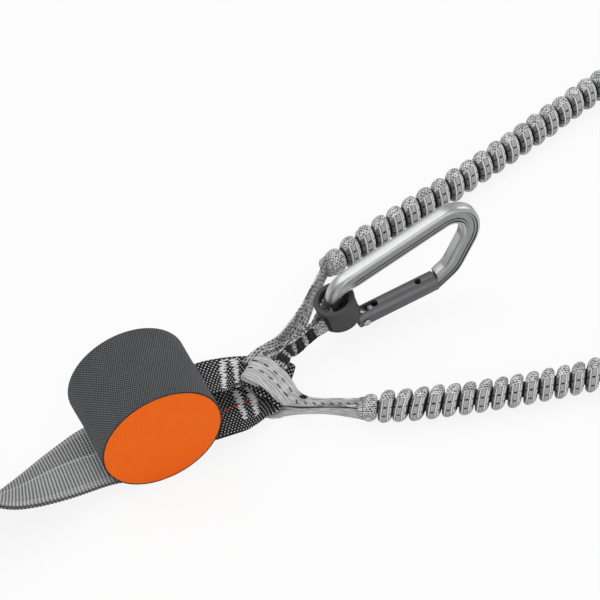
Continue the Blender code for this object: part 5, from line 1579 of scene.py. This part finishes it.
# %%
pouch()
end_panel("front_panel", "pouch_end_front", "orange", -1)
end_panel("back_panel", "pouch_end_back", "grey_panel", 1)
piping("front_piping", "piping_front", -1)
piping("back_piping", "piping_back", 1)
tear_pack()
harness_loop()
load_strap()
yoke()
rest_frame = connector("_rest", rest_length, rest_width, False)
basket = bar_corner_shares[1][0] * rest_length
keeper_place = rest_frame @ Vector((basket, basket_middle_share * rest_width, 0))
ahead = np.array((rest_frame.to_3x3() @ Vector((1, 0, 0))))
rest_sling(np.array(keeper_place), ahead)
window_reach = 2 * (keeper_inner + keeper_wall)
window_half = sling_half_width + window_clearance
window_drop = (keeper_inner + keeper_wall / 2) * math.sin(rest_rise - keeper_tilt)
keeper("_rest", keeper_inner, keeper_wall, keeper_height,
       Matrix.Translation(keeper_place) @ Matrix.Rotation(-keeper_tilt, 4, "Y"),
       block((-window_reach, -window_width / 2, -window_drop - window_half),
             (0.0, window_width / 2, window_half - window_drop)))

for suffix, route in arm_routes.items():
    connector(suffix, end_length, end_width, True)
    basket = Vector(joint("connector_lift" + suffix)["pos_m"])
    wrap_radius = bar_round_share * end_width
    bar_place = Vector((basket.x, route[-1][1], basket.z))
    arm_eye(suffix, route[-1], bar_place, wrap_radius)
    ring_inner = wrap_radius + webbing_thickness + 3 * seat_gap
    keeper(suffix, ring_inner, end_ring_wall, 2 * eye_half_width + end_ring_margin,
           Matrix.Translation(bar_place) @ Matrix.Rotation(math.pi / 2, 4, "X"),
           block((-3 * ring_inner, -ring_inner, -eye_half_width - seat_gap),
                 (0.0, ring_inner, eye_half_width + seat_gap)))
    on_arm = [bpy.data.objects[name + suffix] for name in
              ("arm_eye_webbing", "arm_eye_tack", "rubber_keeper", "forged_body", "gate_sleeve",
               "return_spring", "spring_plunger", "hinge_rivet", "lever_plate", "lever_axle")]

# %% [markdown]
# ## Floor and light
# A plain pale floor under large soft lamps, so that each colour renders as it is written.
# The camera sees a white surround.

# %%


def stage_floor():
    """The floor, which also glows a little to the camera so that it reads as white."""
    mesh = bpy.data.meshes.new("floor")
    reach = 4.0
    mesh.from_pydata([(-reach, -reach, 0), (reach, -reach, 0), (reach, reach, 0), (-reach, reach, 0)],
                     [], [(0, 1, 2, 3)])
    floor = bpy.data.objects.new("floor", mesh)
    scene.collection.objects.link(floor)
    made, tree, shader = start("pale_floor")
    shader.inputs["Base Color"].default_value = (0.92, 0.92, 0.92, 1.0)
    shader.inputs["Roughness"].default_value = 0.9
    glow = tree.nodes.new("ShaderNodeEmission")
    blend = tree.nodes.new("ShaderNodeMixShader")
    seen = tree.nodes.new("ShaderNodeLightPath")
    share = Wire(tree, seen.outputs["Is Camera Ray"]) * 0.86
    feed(tree, share, blend.inputs[0])
    tree.links.new(shader.outputs[0], blend.inputs[1])
    tree.links.new(glow.outputs[0], blend.inputs[2])
    tree.links.new(blend.outputs[0], tree.nodes["Material Output"].inputs["Surface"])
    floor.data.materials.append(made)


def lamp(name, place, aim, size, power):
    """A square lamp turned to what it lights."""
    light = bpy.data.lights.new(name, "AREA")
    light.energy = power
    light.shape = "SQUARE"
    light.size = size
    made = bpy.data.objects.new(name, light)
    made.location = place
    made.rotation_euler = (Vector(place) - Vector(aim)).to_track_quat("Z", "Y").to_euler()
    scene.collection.objects.link(made)


stage_floor()
lamp_aim = (0.15, 0.02, 0.0)
for name, place, size, power in (("key", (-0.5, 0.5, 1.5), 1.7, 11.5),
                                 ("fill", (0.2, -1.5, 0.9), 1.4, 5.6),
                                 ("right", (1.4, 0.3, 0.7), 0.9, 4.0)):
    lamp(name, place, lamp_aim, size, power)
world = bpy.data.worlds.new("surround")
scene.world = world
world.use_nodes = True
tree = world.node_tree
sky = tree.nodes["Background"]
seen = tree.nodes.new("ShaderNodeLightPath")
feed(tree, Wire(tree, seen.outputs["Is Camera Ray"]) * 0.48 + 0.52, sky.inputs["Strength"])
sky.inputs["Color"].default_value = (1.0, 1.0, 1.0, 1.0)
scene.view_settings.view_transform = "Standard"
